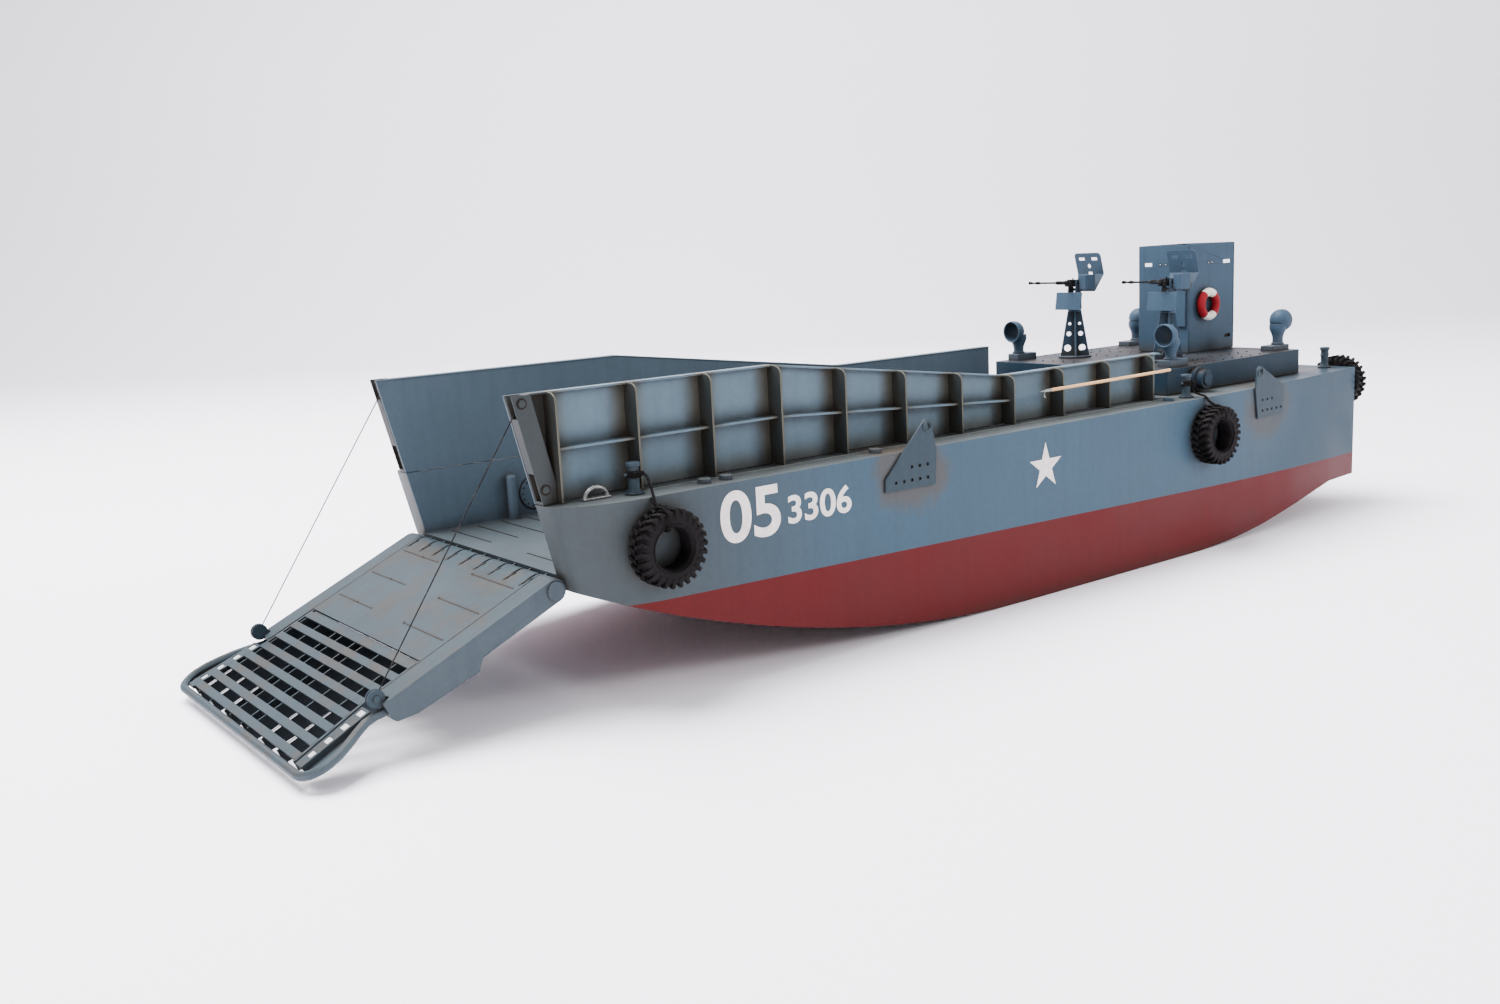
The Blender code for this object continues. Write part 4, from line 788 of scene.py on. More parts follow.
def narrow_planks(grating):
    """Draws in both edges of every plank of the grating."""
    own = ramp_frame().inverted()
    for vertex in grating.data.vertices:
        spot = own @ vertex.co
        along = (spot.x - PLANK_FIRST_U) % PLANK_PITCH
        inward = min(along, PLANK_PITCH - along) < EDGE_NEAR
        if inward or abs(along - PLANK_WIDTH) < EDGE_NEAR:
            vertex.co = ramp_frame() @ (spot + Vector((PLANK_TRIM if inward else -PLANK_TRIM, 0, 0)))


# %% [markdown]
# ## Flat plates with eased edges
#
# Sheet metal never ends in a perfect corner: paint rounds it, and rubbing leaves the edge paler. A
# merged copy of each flat node gets a narrow bevel, and the bevel's faces take a paler paint, partly
# for the rubbing and partly as painted highlight. Faces with a dent in their outline are split,
# before and after, because they fill badly. A weighted normal then keeps the big faces flat while the
# narrow ones shade round.

# %% Ease the flat pieces
# Width of the bevel for each family of nodes, in metres
EASE = {
    "hull": 0.0006, "bulwark": 0.0003, "ramp_post": 0.0003, "ramp_rail": 0.0006, "ramp_plate": 0.0002,
    "ramp_grating": 0.0002, "ramp_toe": 0.0002, "hinge_pin": 0.0002, "engine_trunk": 0.0007,
    "pilothouse": 0.0003, "gun_pedestal": 0.0002, "gun_head": 0.0002, "lifting_plate": 0.0003,
    "rudder": 0.0004,
}
# Points this close are merged, faces this flat are made one, and corners sharper than the last are beveled
MERGE_NEAR, FLAT_DEGREES, CORNER_DEGREES = 1e-5, 0.5, 32


def split_dents(piece):
    """Splits the faces whose outline has a dent."""
    editing(piece)
    bpy.ops.mesh.vert_connect_concave()
    bpy.ops.object.mode_set(mode="OBJECT")


def eased(node_name, width):
    """A merged copy of a CAD node with a narrow bevel on its corners."""
    piece = copied(NODES[node_name], f"{node_name}_shape", Matrix.Identity(4))
    editing(piece)
    bpy.ops.mesh.remove_doubles(threshold=MERGE_NEAR)
    bpy.ops.mesh.dissolve_limited(angle_limit=math.radians(FLAT_DEGREES))
    bpy.ops.object.mode_set(mode="OBJECT")
    if node_name == "ramp_grating":
        narrow_planks(piece)
    if node_name.startswith("pilothouse"):
        open_slots(piece, node_name.split("_")[-1])
    split_dents(piece)
    modify(piece, "BEVEL", width=width, segments=2, limit_method="ANGLE", material=1,
           angle_limit=math.radians(CORNER_DEGREES), use_clamp_overlap=False, miter_outer="MITER_ARC")
    split_dents(piece)
    smooth(piece, CORNER_DEGREES)
    modify(piece, "WEIGHTED_NORMAL", keep_sharp=True)
    return dress(piece, SLOT_OF[node_name], BODY_OF[node_name], node_name)


for family, width in EASE.items():
    for node_name in NODES:
        if node_name == family or node_name.startswith(family + "_"):
            shape = eased(node_name, width)
    print(family, len(shape.data.polygons), "faces in the last one")

# %% [markdown]
# ## Fender tyres
#
# The fenders are old tyres with chevron lugs. A plane is beveled into the rubber's section and
# spun into a ring. One lug is a block whose inner end is pushed aside, with a second block wrapped
# over the shoulder; spin copies it round the ring, and a turned mirror copy makes the other row.

# %% Model one tyre and hang six
TYRE_R, TYRE_HOLE_R, TYRE_WIDTH = 0.025, 0.0131, 0.0165
LUG_COUNT, LUG_HEIGHT, LUG_LEAD, LUG_HALF = 26, 0.0018, 0.0024, 0.0013
CARCASS_R, WALL_INSET, CARCASS_EASE = TYRE_R - LUG_HEIGHT, 0.0008, 0.0034
RIDGE_SHARE, RIDGE_TUBE_R = 0.61, 0.0005


def make_carcass():
    """The rubber ring without its lugs: an eased section spun round."""
    bpy.ops.object.select_all(action="DESELECT")
    bpy.ops.mesh.primitive_plane_add(size=1, location=((CARCASS_R + TYRE_HOLE_R) / 2, 0, 0),
                                     rotation=(math.pi / 2, 0, 0))
    ring = settle(bpy.context.object, "carcass")
    editing(ring)
    bpy.ops.transform.resize(value=(CARCASS_R - TYRE_HOLE_R, 1, TYRE_WIDTH - WALL_INSET))
    bpy.ops.mesh.bevel(offset=CARCASS_EASE, segments=6, affect="VERTICES")
    bpy.ops.mesh.select_all(action="SELECT")
    bpy.ops.mesh.delete(type="ONLY_FACE")
    bpy.ops.mesh.select_all(action="SELECT")
    bpy.ops.mesh.spin(steps=72, angle=2 * math.pi, center=(0, 0, 0), axis=(0, 0, 1))
    bpy.ops.mesh.select_all(action="SELECT")
    bpy.ops.mesh.remove_doubles(threshold=1e-6)
    bpy.ops.mesh.normals_make_consistent(inside=False)
    bpy.ops.object.mode_set(mode="OBJECT")
    return smooth(ring, 50)


def make_lug_row():
    """One slanted lug with its shoulder, repeated round the tyre."""
    half = TYRE_WIDTH / 2
    tread = block("tread_lug", (CARCASS_R - 0.001, -LUG_HALF, 0.0002),
                  (TYRE_R, LUG_HALF, half - WALL_INSET), 0.0003, 1)
    editing(tread, "FACE")
    bpy.ops.mesh.select_all(action="DESELECT")
    bpy.ops.object.mode_set(mode="OBJECT")
    for vertex in tread.data.vertices:
        vertex.select = vertex.co.z < half / 2
    bpy.ops.object.mode_set(mode="EDIT")
    bpy.ops.mesh.select_mode(type="VERT")
    bpy.ops.transform.translate(value=(0, LUG_LEAD, 0))
    bpy.ops.object.mode_set(mode="OBJECT")
    shoulder = block("shoulder_lug", (TYRE_R - 0.0068, -LUG_HALF, half - 0.003),
                     (TYRE_R - 0.0006, LUG_HALF, half), 0.0005, 1)
    lug = joined("lug", [tread, shoulder])
    editing(lug)
    bpy.ops.mesh.spin(steps=LUG_COUNT - 1, dupli=True, angle=2 * math.pi * (LUG_COUNT - 1) / LUG_COUNT,
                      center=(0, 0, 0), axis=(0, 0, 1))
    bpy.ops.object.mode_set(mode="OBJECT")
    return lug


def make_tyre():
    """The carcass with both rows of lugs and a ridge on each wall."""
    near = make_lug_row()
    half_step = Matrix.Rotation(math.pi / LUG_COUNT, 4, "Z")
    far = copied(near, "far_lugs", half_step @ Matrix.Scale(-1, 4, (0, 0, 1)))
    ridges = []
    for side in (-1, 1):
        ridge_at = (0, 0, side * (TYRE_WIDTH / 2 - 0.0004))
        ridge = torus("ridge", ridge_at, TYRE_R * RIDGE_SHARE, RIDGE_TUBE_R, 72)
        ridges.append(smooth(ridge, 60))
    return joined("tyre", [make_carcass(), near, far, *ridges])


tyre = make_tyre()
print("one tyre has", len(tyre.data.polygons), "faces")


def box_middle(node_name):
    """The middle of a CAD node's box."""
    low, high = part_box(node_name)
    return (low + high) / 2


for place_name in ("fore", "mid", "transom"):
    for side, sign in SIDES:
        node_name = f"tyre_{place_name}_{side}"
        outward = (-1, 0, 0) if place_name == "transom" else (0, sign, 0)
        hung = copied(tyre, f"{node_name}_lugged", facing(box_middle(node_name), outward))
        dress(hung, "tyre_rubber", "hull", node_name)
bpy.data.objects.remove(tyre)

# %% [markdown]
# ## Cowl ventilators
#
# A cowl is a ball on a neck, cut open in front, with a rolled lip. The ball and the turned neck are
# united, hollowed by a smaller ball, opened by a block, and a ring makes the lip.

# %% Model the cowls
VENT_R, VENT_WALL, MOUTH_SHARE = 0.0104, 0.0011, 0.28
LIP_INSET, LIP_TUBE_R = 0.0003, 0.0007


def make_ball(name, centre, radius):
    """A ball in its place."""
    bpy.ops.object.select_all(action="DESELECT")
    bpy.ops.mesh.primitive_uv_sphere_add(segments=48, ring_count=24, radius=radius, location=centre)
    return settle(bpy.context.object, name)


def make_cowl(name, centre, stem_x, base_z, way):
    """A hollow ball on a neck, open on the side that it faces."""
    x, y, z = centre
    neck = [(base_z, 0.0060), (base_z + 0.0010, 0.0060), (base_z + 0.0018, 0.0049), (z - 0.0170, 0.0048),
            (z - 0.0145, 0.0052), (z - 0.0120, 0.0061), (z - 0.0095, 0.0072), (z - 0.0070, 0.0079),
            (z - 0.0030, 0.0076)]
    cowl = make_ball(name, centre, VENT_R)
    use_tool(cowl, turned("neck", neck, (stem_x, y, 0), (0, 0, 1)), "UNION")
    mouth_x = x + way * VENT_R * MOUTH_SHARE
    far_x = x + way * 3 * VENT_R
    opener = block("opener", (min(mouth_x, far_x), y - 2 * VENT_R, z - VENT_R),
                   (max(mouth_x, far_x), y + 2 * VENT_R, z + 2 * VENT_R), TOOL_EASE, 1)
    use_tool(cowl, opener, "DIFFERENCE")
    use_tool(cowl, make_ball("inside", centre, VENT_R - VENT_WALL), "DIFFERENCE")
    lip_r = VENT_R * math.sqrt(1 - MOUTH_SHARE ** 2) - LIP_INSET
    lip = torus("lip", (mouth_x, y, z), lip_r, LIP_TUBE_R, 48, 10, (0, math.pi / 2, 0))
    return smooth(joined(name, [cowl, lip]), 50)


# Each pair: name, centre of the ball, the stem's own x, way that it faces
VENTS = (
    ("fore", (-0.1939, 0.0885, 0.1850), -0.2008, 1),
    ("aft", (-0.3810, 0.0824, 0.1848), -0.3762, -1),
)
for place_name, (x, y, z), stem_x, way in VENTS:
    for side, sign in SIDES:
        node_name = f"vent_{place_name}_{side}"
        base_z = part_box(node_name)[0].z
        cowl = make_cowl(f"cowl_{place_name}_{side}", (x, sign * y, z), stem_x, base_z, way)
        dress(cowl, "deckhouse_paint", "hull", node_name)

# %% [markdown]
# ## Turned deck fittings
#
# Bitts, side drums, sheaves and caps are lathe work: each is a profile pushed up from a disc. The
# crossbar through a bitt is a thin bar, and its foot is a beveled plate.

# %% Model the bitts, drums and sheaves
DECK_GAP = 0.0003
BITT_PLACES = (("bow", 0.382, 0.117), ("mid", -0.178, 0.121), ("stern", -0.438, 0.095))
BITT_PROFILE = [
    (0.0010, 0.0047), (0.0018, 0.0046), (0.0026, 0.0040), (0.0034, 0.0036), (0.0160, 0.0036),
    (0.0170, 0.0037), (0.0176, 0.0045), (0.0194, 0.0046), (0.0200, 0.0041),
]
FOOT_PROFILE = [(0, 0.0062), (0.0010, 0.0062), (0.0013, 0.0058)]
CROSS_UP = 0.0125
CROSS_PROFILE = [(-0.0070, 0.0008), (-0.0067, 0.0010), (0.0067, 0.0010), (0.0070, 0.0008)]
for place_name, x, y in BITT_PLACES:
    for side, sign in SIDES:
        base = DECK_Z + DECK_GAP
        centre = (x, sign * y, base)
        post = turned("post", BITT_PROFILE, centre, (0, 0, 1), 32)
        foot = turned("foot", FOOT_PROFILE, centre, (0, 0, 1), 32)
        cross = turned("cross", CROSS_PROFILE, (x, sign * y, base + CROSS_UP), (1, 0, 0), 16)
        dress(joined(f"mooring_{place_name}_{side}", [post, foot, cross]), "fitting_paint", "hull",
              f"bitt_{place_name}_{side}")

DRUM_PROFILE = [
    (0, 0.0085), (0.0045, 0.0085), (0.0045, 0.0110), (0.0048, 0.0112), (0.0067, 0.0112),
    (0.0070, 0.0109), (0.0070, 0.0085), (0.0128, 0.0085), (0.0132, 0.0081), (0.0132, 0.0055),
    (0.0144, 0.0055), (0.0147, 0.0051),
]
SHEAVE_HALF = 0.0018
SHEAVE_PROFILE = [
    (-SHEAVE_HALF, 0.0055), (-0.0010, 0.0055), (-0.0004, 0.0045), (0.0004, 0.0045), (0.0010, 0.0055),
    (SHEAVE_HALF, 0.0055), (SHEAVE_HALF, 0.0020), (0.0026, 0.0020),
]
for side, sign in SIDES:
    low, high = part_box(f"side_drum_{side}")
    middle = (low + high) / 2
    base_y = low.y if sign > 0 else high.y
    drum = turned(f"drum_{side}", DRUM_PROFILE, (middle.x, base_y, middle.z), (0, sign, 0), 56, 30)
    dress(drum, "deckhouse_paint", "hull", f"side_drum_{side}")
    low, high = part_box(f"sheave_{side}")
    middle = (low + high) / 2
    start_y = low.y + SHEAVE_HALF if sign > 0 else high.y - SHEAVE_HALF
    wheel = turned(f"pulley_{side}", SHEAVE_PROFILE, (middle.x, start_y, middle.z), (0, sign, 0), 32, 30)
    dress(wheel, "fitting_paint", "ramp", f"sheave_{side}")

# %% [markdown]
# ## Life rings
#
# A life ring is a torus covered with canvas in four fields. The two white fields are pushed out a
# hair, so the seams catch the light.

# %% Model the life rings
RING_R, RING_TUBE_R, RING_PUSH = 0.0117, 0.0037, 0.00015
# The fields meet at this angle above and below the level
FIELD_ANGLE = 0.95
for side, sign in SIDES:
    middle = Vector((RING_CENTRE[0], box_middle(f"life_ring_{side}").y, RING_CENTRE[2]))
    ring = torus(f"ring_{side}", middle, RING_R, RING_TUBE_R, 72, 24, (math.pi / 2, 0, 0))
    for face in ring.data.polygons:
        offset = face.center - middle
        face.select = math.atan2(abs(offset.z), abs(offset.x)) > FIELD_ANGLE
    only(ring)
    bpy.ops.object.mode_set(mode="EDIT")
    bpy.ops.mesh.select_mode(type="FACE")
    bpy.ops.mesh.extrude_region_shrink_fatten(TRANSFORM_OT_shrink_fatten={"value": RING_PUSH})
    bpy.ops.object.mode_set(mode="OBJECT")
    dress(smooth(ring, 50), "ring_white", "hull", f"life_ring_{side}")

# %% [markdown]
# ## Fairleads and the boat hook
#
# A fairlead is a low arch of thick bar on a narrow foot. The boat hook is a turned pole with a steel
# spike and a curled barb, held on the port ribs.

# %% Model the fairleads and the boat hook
ARCH_X, ARCH_Y, ARCH_HALF, ARCH_RISE, ARCH_R = 0.407, 0.1120, 0.0080, 0.0066, 0.0013
for side, sign in SIDES:
    x, y, base = ARCH_X, sign * ARCH_Y, DECK_Z + DECK_GAP
    foot = block("foot", (x - 0.0098, y - 0.0022, base), (x + 0.0098, y + 0.0022, base + 0.0012))
    angles = [math.pi * k / 32 for k in range(33)]
    arch = bar("arch", [(x + ARCH_HALF * math.cos(a), y, base + 0.0006 + ARCH_RISE * math.sin(a))
                        for a in angles], ARCH_R, 5)
    chock = joined(f"chock_{side}", [foot, arch])
    dress(chock, "fitting_paint", "hull", f"fairlead_{side}", finish="bare_steel")

HOOK_Y, HOOK_TIP, HOOK_BUTT = 0.11305, (-0.0004, 0.1574), (-0.1664, 0.1587)
tip = Vector((HOOK_TIP[0], HOOK_Y, HOOK_TIP[1]))
butt = Vector((HOOK_BUTT[0], HOOK_Y, HOOK_BUTT[1]))
length, POLE_R = (tip - butt).length, 0.00125
pole_profile = [(0.0, 0.0009), (0.0004, POLE_R), (length - 0.0125, POLE_R), (length - 0.0095, 0.0011)]
pole = turned("boat_pole", pole_profile, butt, tip - butt, 24)
dress(pole, "pole_wood", "hull", "boat_hook")
socket_profile = [(length - 0.0130, 0.0013), (length - 0.0090, 0.0013), (length - 0.0060, 0.0009),
                  (length, 0.0002)]
socket = turned("hook_socket", socket_profile, butt, tip - butt, 20)
BARB_BACK, BARB_DOWN, BARB_LONG, BARB_TALL = 0.0080, 0.0030, 0.0032, 0.0030
curl = [math.radians(90 - 150 * k / 12) for k in range(13)]
barb = bar("hook_barb", [(tip.x - BARB_BACK + BARB_LONG * math.cos(a), HOOK_Y,
                          tip.z - BARB_DOWN + BARB_TALL * math.sin(a)) for a in curl], 0.0005)
dress(joined("hook_iron", [socket, barb]), "cable_steel", "hull", finish="bare_steel")

# %% [markdown]
# ## Guns
#
# Each gun is built pointing along +X at its trunnion, then lifted by the few degrees of the photo.
# The barrel is one turned profile: jacket, bare tube, two collars and a flared muzzle.

# %% Model the guns
GUN_X, GUN_Y, TRUNNION_Z, GUN_RISE = -0.2435, 0.054, 0.2288, math.radians(3)
BARREL_PROFILE = [
    (0.0100, 0.0018), (0.0255, 0.0018), (0.0260, 0.0015), (0.0265, 0.0009), (0.0505, 0.0009),
    (0.0510, 0.0014), (0.0550, 0.0014), (0.0555, 0.0008), (0.0605, 0.0008), (0.0610, 0.0012),
    (0.0645, 0.0015), (0.0645, 0.0008), (0.0620, 0.0006),
]
for side, sign in SIDES:
    lift = Matrix.Translation((GUN_X, sign * GUN_Y, TRUNNION_Z)) @ Matrix.Rotation(-GUN_RISE, 4, "Y")
    barrel = turned("barrel", BARREL_PROFILE, (0, 0, 0.0004), (1, 0, 0), 24)
    body = block("receiver", (-0.0125, -0.0030, -0.0034), (0.0110, 0.0030, 0.0026), 0.0004)
    lid = block("feed_cover", (-0.0085, -0.0024, 0.0020), (0.0085, 0.0024, 0.0036), 0.0004)
    sight = block("sight", (0.0015, -0.0005, 0.0030), (0.0030, 0.0005, 0.0052), 0.0002, 1)
    grip = block("grip_plate", (-0.0150, -0.0026, -0.0024), (-0.0118, 0.0026, 0.0010), 0.0004)
    pin = turned("pin", [(-0.0056, 0.0009), (0.0056, 0.0009)], (0, 0, 0), (0, 1, 0), 16)
    gun = joined(f"gun_piece_{side}", [body, barrel, lid, sight, grip, pin])
    settle(gun, f"gun_piece_{side}", lift)
    dress(gun, "gun_black", BODY_OF[f"gun_{side}"], f"gun_{side}")

# %% [markdown]
# ## Ropes on the fenders
#
# Each side fender hangs from a dark rope made fast to a bitt. Two strands wound round one smooth
# line make the lay of the rope, and turns round the bitt and a knot hold its end.

# %% Lay the ropes
ROPE_R, STRAND_R, LAY = 0.0010, 0.00060, 0.0036


def smooth_line(points, steps=14):
    """A smooth line through points, by Catmull-Rom."""
    points = [Vector(point) for point in points]
    ends = [2 * points[0] - points[1], *points, 2 * points[-1] - points[-2]]
    line = []
    for before, start, end, after in zip(ends, ends[1:], ends[2:], ends[3:]):
        for k in range(steps):
            t = k / steps
            square = 2 * before - 5 * start + 4 * end - after
            cube = 3 * start - before - 3 * end + after
            line.append(0.5 * (2 * start + (end - before) * t + square * t ** 2 + cube * t ** 3))
    return line + [points[-1]]


def rope(name, points):
    """Two strands wound round a smooth line, with one direction across it carried along."""
    line = smooth_line(points)
    strands = [[], []]
    travelled = 0.0
    normal = Vector((0.3, 0.2, 1.0))
    for k, spot in enumerate(line):
        ahead = line[min(k + 1, len(line) - 1)] - line[max(k - 1, 0)]
        normal = (normal - ahead * normal.dot(ahead) / ahead.length_squared).normalized()
        across = ahead.normalized().cross(normal)
        if k:
            travelled += (spot - line[k - 1]).length
        for strand, phase in zip(strands, (0, math.pi)):
            angle = 2 * math.pi * travelled / LAY + phase
            strand.append(spot + (normal * math.cos(angle) + across * math.sin(angle)) * (ROPE_R - STRAND_R))
    return joined(name, [bar("strand", strand, STRAND_R, 2) for strand in strands])


def wound(centre, radius, turns, drop):
    """Points of a few turns round an upright post."""
    count = int(18 * turns)
    return [(centre[0] + radius * math.cos(2 * math.pi * turns * k / count),
             centre[1] + radius * math.sin(2 * math.pi * turns * k / count),
             centre[2] - drop * k / count) for k in range(count + 1)]


# Each lashing: name, middle of the bitt, the rope's way down from it, and where it crosses the tyre
ROPE_RUNS = (
    ("bow", 0.382, 0.117, ((0.3776, 0.1245, 0.1462), (0.3776, 0.1290, 0.1400), (0.3790, 0.1340, 0.1335),
                           (0.3802, 0.1372, 0.1302)), 0.3806, 0.1273),
    ("mid", -0.178, 0.121, ((-0.1800, 0.1268, 0.1402), (-0.1840, 0.1300, 0.1368), (-0.1872, 0.1338, 0.1350),
                            (-0.1886, 0.1368, 0.1310)), -0.1890, 0.1269),
)
# Breadth, and height above the tyre's edge, of the points where the rope goes over a tyre and inside it
OVER_TYRE = ((0.1400, 0.0012), (0.1465, 0.0008), (0.1515, -0.0018), (0.1530, -0.0060), (0.1528, -0.0110),
             (0.1490, -0.0128), (0.1440, -0.0128))
WIND_R, WIND_UP, WIND_TURNS, WIND_DROP = 0.0044, 0.0142, 2.6, 0.0034
KNOT_R, KNOT_TURNS, KNOT_DROP = 0.0014, 2.0, 0.0024
for side, sign in SIDES:
    for place_name, bitt_x, bitt_y, way, tyre_x, tyre_top in ROPE_RUNS:
        top = DECK_Z + WIND_UP
        turns = rope("turns", wound((bitt_x, sign * bitt_y, top), WIND_R, WIND_TURNS, WIND_DROP))
        start = (bitt_x - 0.0022, sign * (bitt_y + WIND_R), top - 0.0008)
        lead = rope("lead", [start, *[(x, sign * y, z) for x, y, z in way],
                             *[(tyre_x, sign * y, tyre_top + up) for y, up in OVER_TYRE]])
        tie = rope("tie", [(x + 0.0012, sign * (y + 0.0004), z) for x, y, z in way[2:]]
                   + [(tyre_x - 0.0034, sign * 0.1390, tyre_top + 0.0006),
                      (tyre_x - 0.0040, sign * 0.1370, tyre_top - 0.0030)])
        knot_at = (bitt_x - 0.0022, sign * (bitt_y + WIND_R + 0.0006), top + 0.0003)
        knot = rope("knot", wound(knot_at, KNOT_R, KNOT_TURNS, KNOT_DROP))
        piece = coat(joined(f"lashing_{place_name}_{side}", [turns, lead, tie, knot]), "rope")
        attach(piece, "hull")

# %% [markdown]
# ## Ramp cables
#
# A steel wire runs from the pin in each post to the pulley on the ramp.

# %% Draw the ramp cables
WIRE_R, WIRE_STEPS = 0.0004, 40
for side, sign in SIDES:
    low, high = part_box(f"ramp_cable_{side}")
    start, end = Vector((high.x, box_middle(f"ramp_cable_{side}").y, low.z)), Vector((low.x, 0, high.z))
    end.y = start.y
    wire = bar(f"wire_{side}", [start.lerp(end, k / WIRE_STEPS) for k in range(WIRE_STEPS + 1)], WIRE_R, 3)
    dress(wire, "cable_steel", "hull", f"ramp_cable_{side}")
    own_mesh(wire)

# %% [markdown]
# ## Small steel details
#
# Weld beads cross the well floor, a strip edges the tread of the side deck, studs stand in rows on the
# trunk, bolts ring the round covers, and washers sit under the post bolts. A bead, a stud and a
# bolt are modelled once each, copied with their own meshes and joined into one piece per row.

# %% Add beads, studs and bolts
def repeated(name, model, places, finish_slot, body, finish=None):
    """Copies of a small model at each place, joined; the model itself is thrown away."""
    pieces = [copied(model, "repeat", Matrix.Translation(place_of)) for place_of in places]
    bpy.data.objects.remove(model)
    made = dress(joined(name, pieces), finish_slot, body, finish=finish)
    print(name, len(pieces), "copies")
    return made


FLOOR_Z, STRIP_Y = 0.088, 0.1125
BEAD_TONE, WASH_AND_SHADE_TONE = (0.110, 0.120, 0.118), (0.016, 0.013, 0.011)
SEAM_FIRST_X, SEAM_PITCH, SEAM_Y, SEAM_COUNT = 0.4126, 0.0206, 0.0570, 28
STUD_PITCH, STUD_COUNT = 0.0142, 8
FINISH["bead"] = paint("bead_coat", BEAD_TONE, grime=0.3)
# A dark brown for seams and bolts, also used as painted shade in the ramp's slots and the pilothouse's holes
FINISH["wash_and_shade"] = paint("wash_coat", WASH_AND_SHADE_TONE, grime=0.2)
seams = [(SEAM_FIRST_X - SEAM_PITCH * k, sign * SEAM_Y, FLOOR_Z + 0.0001)
         for k in range(SEAM_COUNT) for _, sign in SIDES]
repeated("well_seams", block("seam", (-0.0004, -0.0310, -0.0002), (0.0004, 0.0310, 0.0003), 0.0001, 1), seams,
         "hull_paint", "hull", "wash_and_shade")
stud_profile = [(-0.0001, 0.0009), (0.0004, 0.0009), (0.0007, 0.0006), (0.0008, 0.0002)]
stud = turned("stud", stud_profile, (0, 0, 0), (0, 0, 1), 12)
# The rows along the trunk, then the rows across it, of which the front one is a stud shorter on each side
studs = [(first_x - STUD_PITCH * k, sign * y, TRUNK_TOP_Z)
         for first_x, y in ((-0.2310, 0.0925), (-0.2450, 0.0700)) for k in range(STUD_COUNT)
         for _, sign in SIDES]
studs += [(x, sign * (0.0080 + 0.0125 * k), TRUNK_TOP_Z)
          for x, count in ((-0.2010, 5), (-0.2655, 6), (-0.3025, 6)) for k in range(count)
          for _, sign in SIDES]
repeated("trunk_studs", stud, studs, "deckhouse_paint", "hull", "wash_and_shade")
COVER_X, COVER_Z, BOLT_CIRCLE_R, BOLT_COUNT = 0.339, 0.105, 0.0103, 14
BOLT_PROFILE = [(-0.0002, 0.0006), (0.0004, 0.0006), (0.0006, 0.0004)]
# Name, place, radius and tube radius of the ring round each cover and under each post bolt
ROUND_MARKS = (
    ("cover_groove", (COVER_X, 0.0953, COVER_Z), 0.0128, 0.0005),
    ("washer_top", (0.4500, 0.1066, 0.1974), 0.0031, 0.0004),
    ("washer_foot", (0.4385, 0.1066, 0.1438), 0.0031, 0.0004),
)
for side, sign in SIDES:
    strip = block(f"tread_edge_{side}", (-0.1650, sign * STRIP_Y - 0.0005, DECK_Z - 0.0002),
                  (0.3700, sign * STRIP_Y + 0.0005, DECK_Z + 0.0006), 0.0001, 1)
    dress(strip, "ramp_paint", "hull", finish="bead")
    angles = [2 * math.pi * k / BOLT_COUNT for k in range(BOLT_COUNT)]
    head = turned("bolt_head", BOLT_PROFILE, (0, 0, 0), (0, -sign, 0), 6)
    ring = [(COVER_X + BOLT_CIRCLE_R * math.cos(a), sign * 0.0946, COVER_Z + BOLT_CIRCLE_R * math.sin(a))
            for a in angles]
    repeated(f"cover_bolts_{side}", head, ring, "hull_paint", "hull", "wash_and_shade")
    for name, (x, y, z), radius, tube_radius in ROUND_MARKS:
        ring = torus(f"{name}_{side}", (x, sign * y, z), radius, tube_radius, turn=(math.pi / 2, 0, 0))
        dress(smooth(ring), "hull_paint", "hull", finish="wash_and_shade")

# %% [markdown]
# ## Dark marks on the ramp
#
# Drop-shaped slots let the water out beside the hinge, a dark line runs where the plate meets each
# rail, and every weld ends in a dot. They are laid on the plate as thin dark pieces, so the plate
# keeps the CAD's shape, and all are built level and then turned to the ramp's slope. The slots'
# dark pieces are painted shade, for hollows that the plate does not have.

# %% Mark the hinge's slots and the plate's edges
HINGE_SLOTS, SLOT_PITCH = 9, 0.0211
marks = []
# Painted shade: each slot is a dark drop with a tail laid on the plate
for k in range(HINGE_SLOTS):
    y = SLOT_PITCH * (k - (HINGE_SLOTS - 1) / 2)
    marks.append(turned("drop", [(0, 0.0016), (0.0002, 0.0014)], (0.0098, y - 0.0004, RAMP_TOP_W),
                        (0, 0, 1), 12))
    marks.append(bar("tail", [(0.0094 - 0.0070 * t, y + 0.0030 * t * t, RAMP_TOP_W)
                              for t in (0, 0.2, 0.4, 0.6, 0.8, 1)], 0.0007, 2))
for _, sign in SIDES:
    marks.append(block("edge_line", (0.0105, sign * PLATE_HALF - 0.0005, RAMP_TOP_W - 0.0003),
                       (0.1235, sign * PLATE_HALF + 0.0005, RAMP_TOP_W + 0.0001), 0.0001, 1))
    for u in WELDS_U:
        end = (u, 0.0262 if sign > 0 else -0.0500, RAMP_TOP_W + 0.0004)
        marks.append(turned("dot", [(0, 0.0009), (0.0002, 0.0008)], end, (0, 0, 1), 10))
dress(settle(joined("ramp_marks", marks), "ramp_marks", ramp_frame()), "ramp_paint", "ramp", finish="wash_and_shade")

# %% [markdown]
# ## Bare pads beside the grating
#
# Pale pads lie between the tabs outside the grating and, as small squares, beside its webs: they
# are painted light, the lit floor seen through these gaps.
# Both are thin blocks in the gaps between two planks. The ramp widens towards its end, so the pads'
# places follow its inner and outer flare.

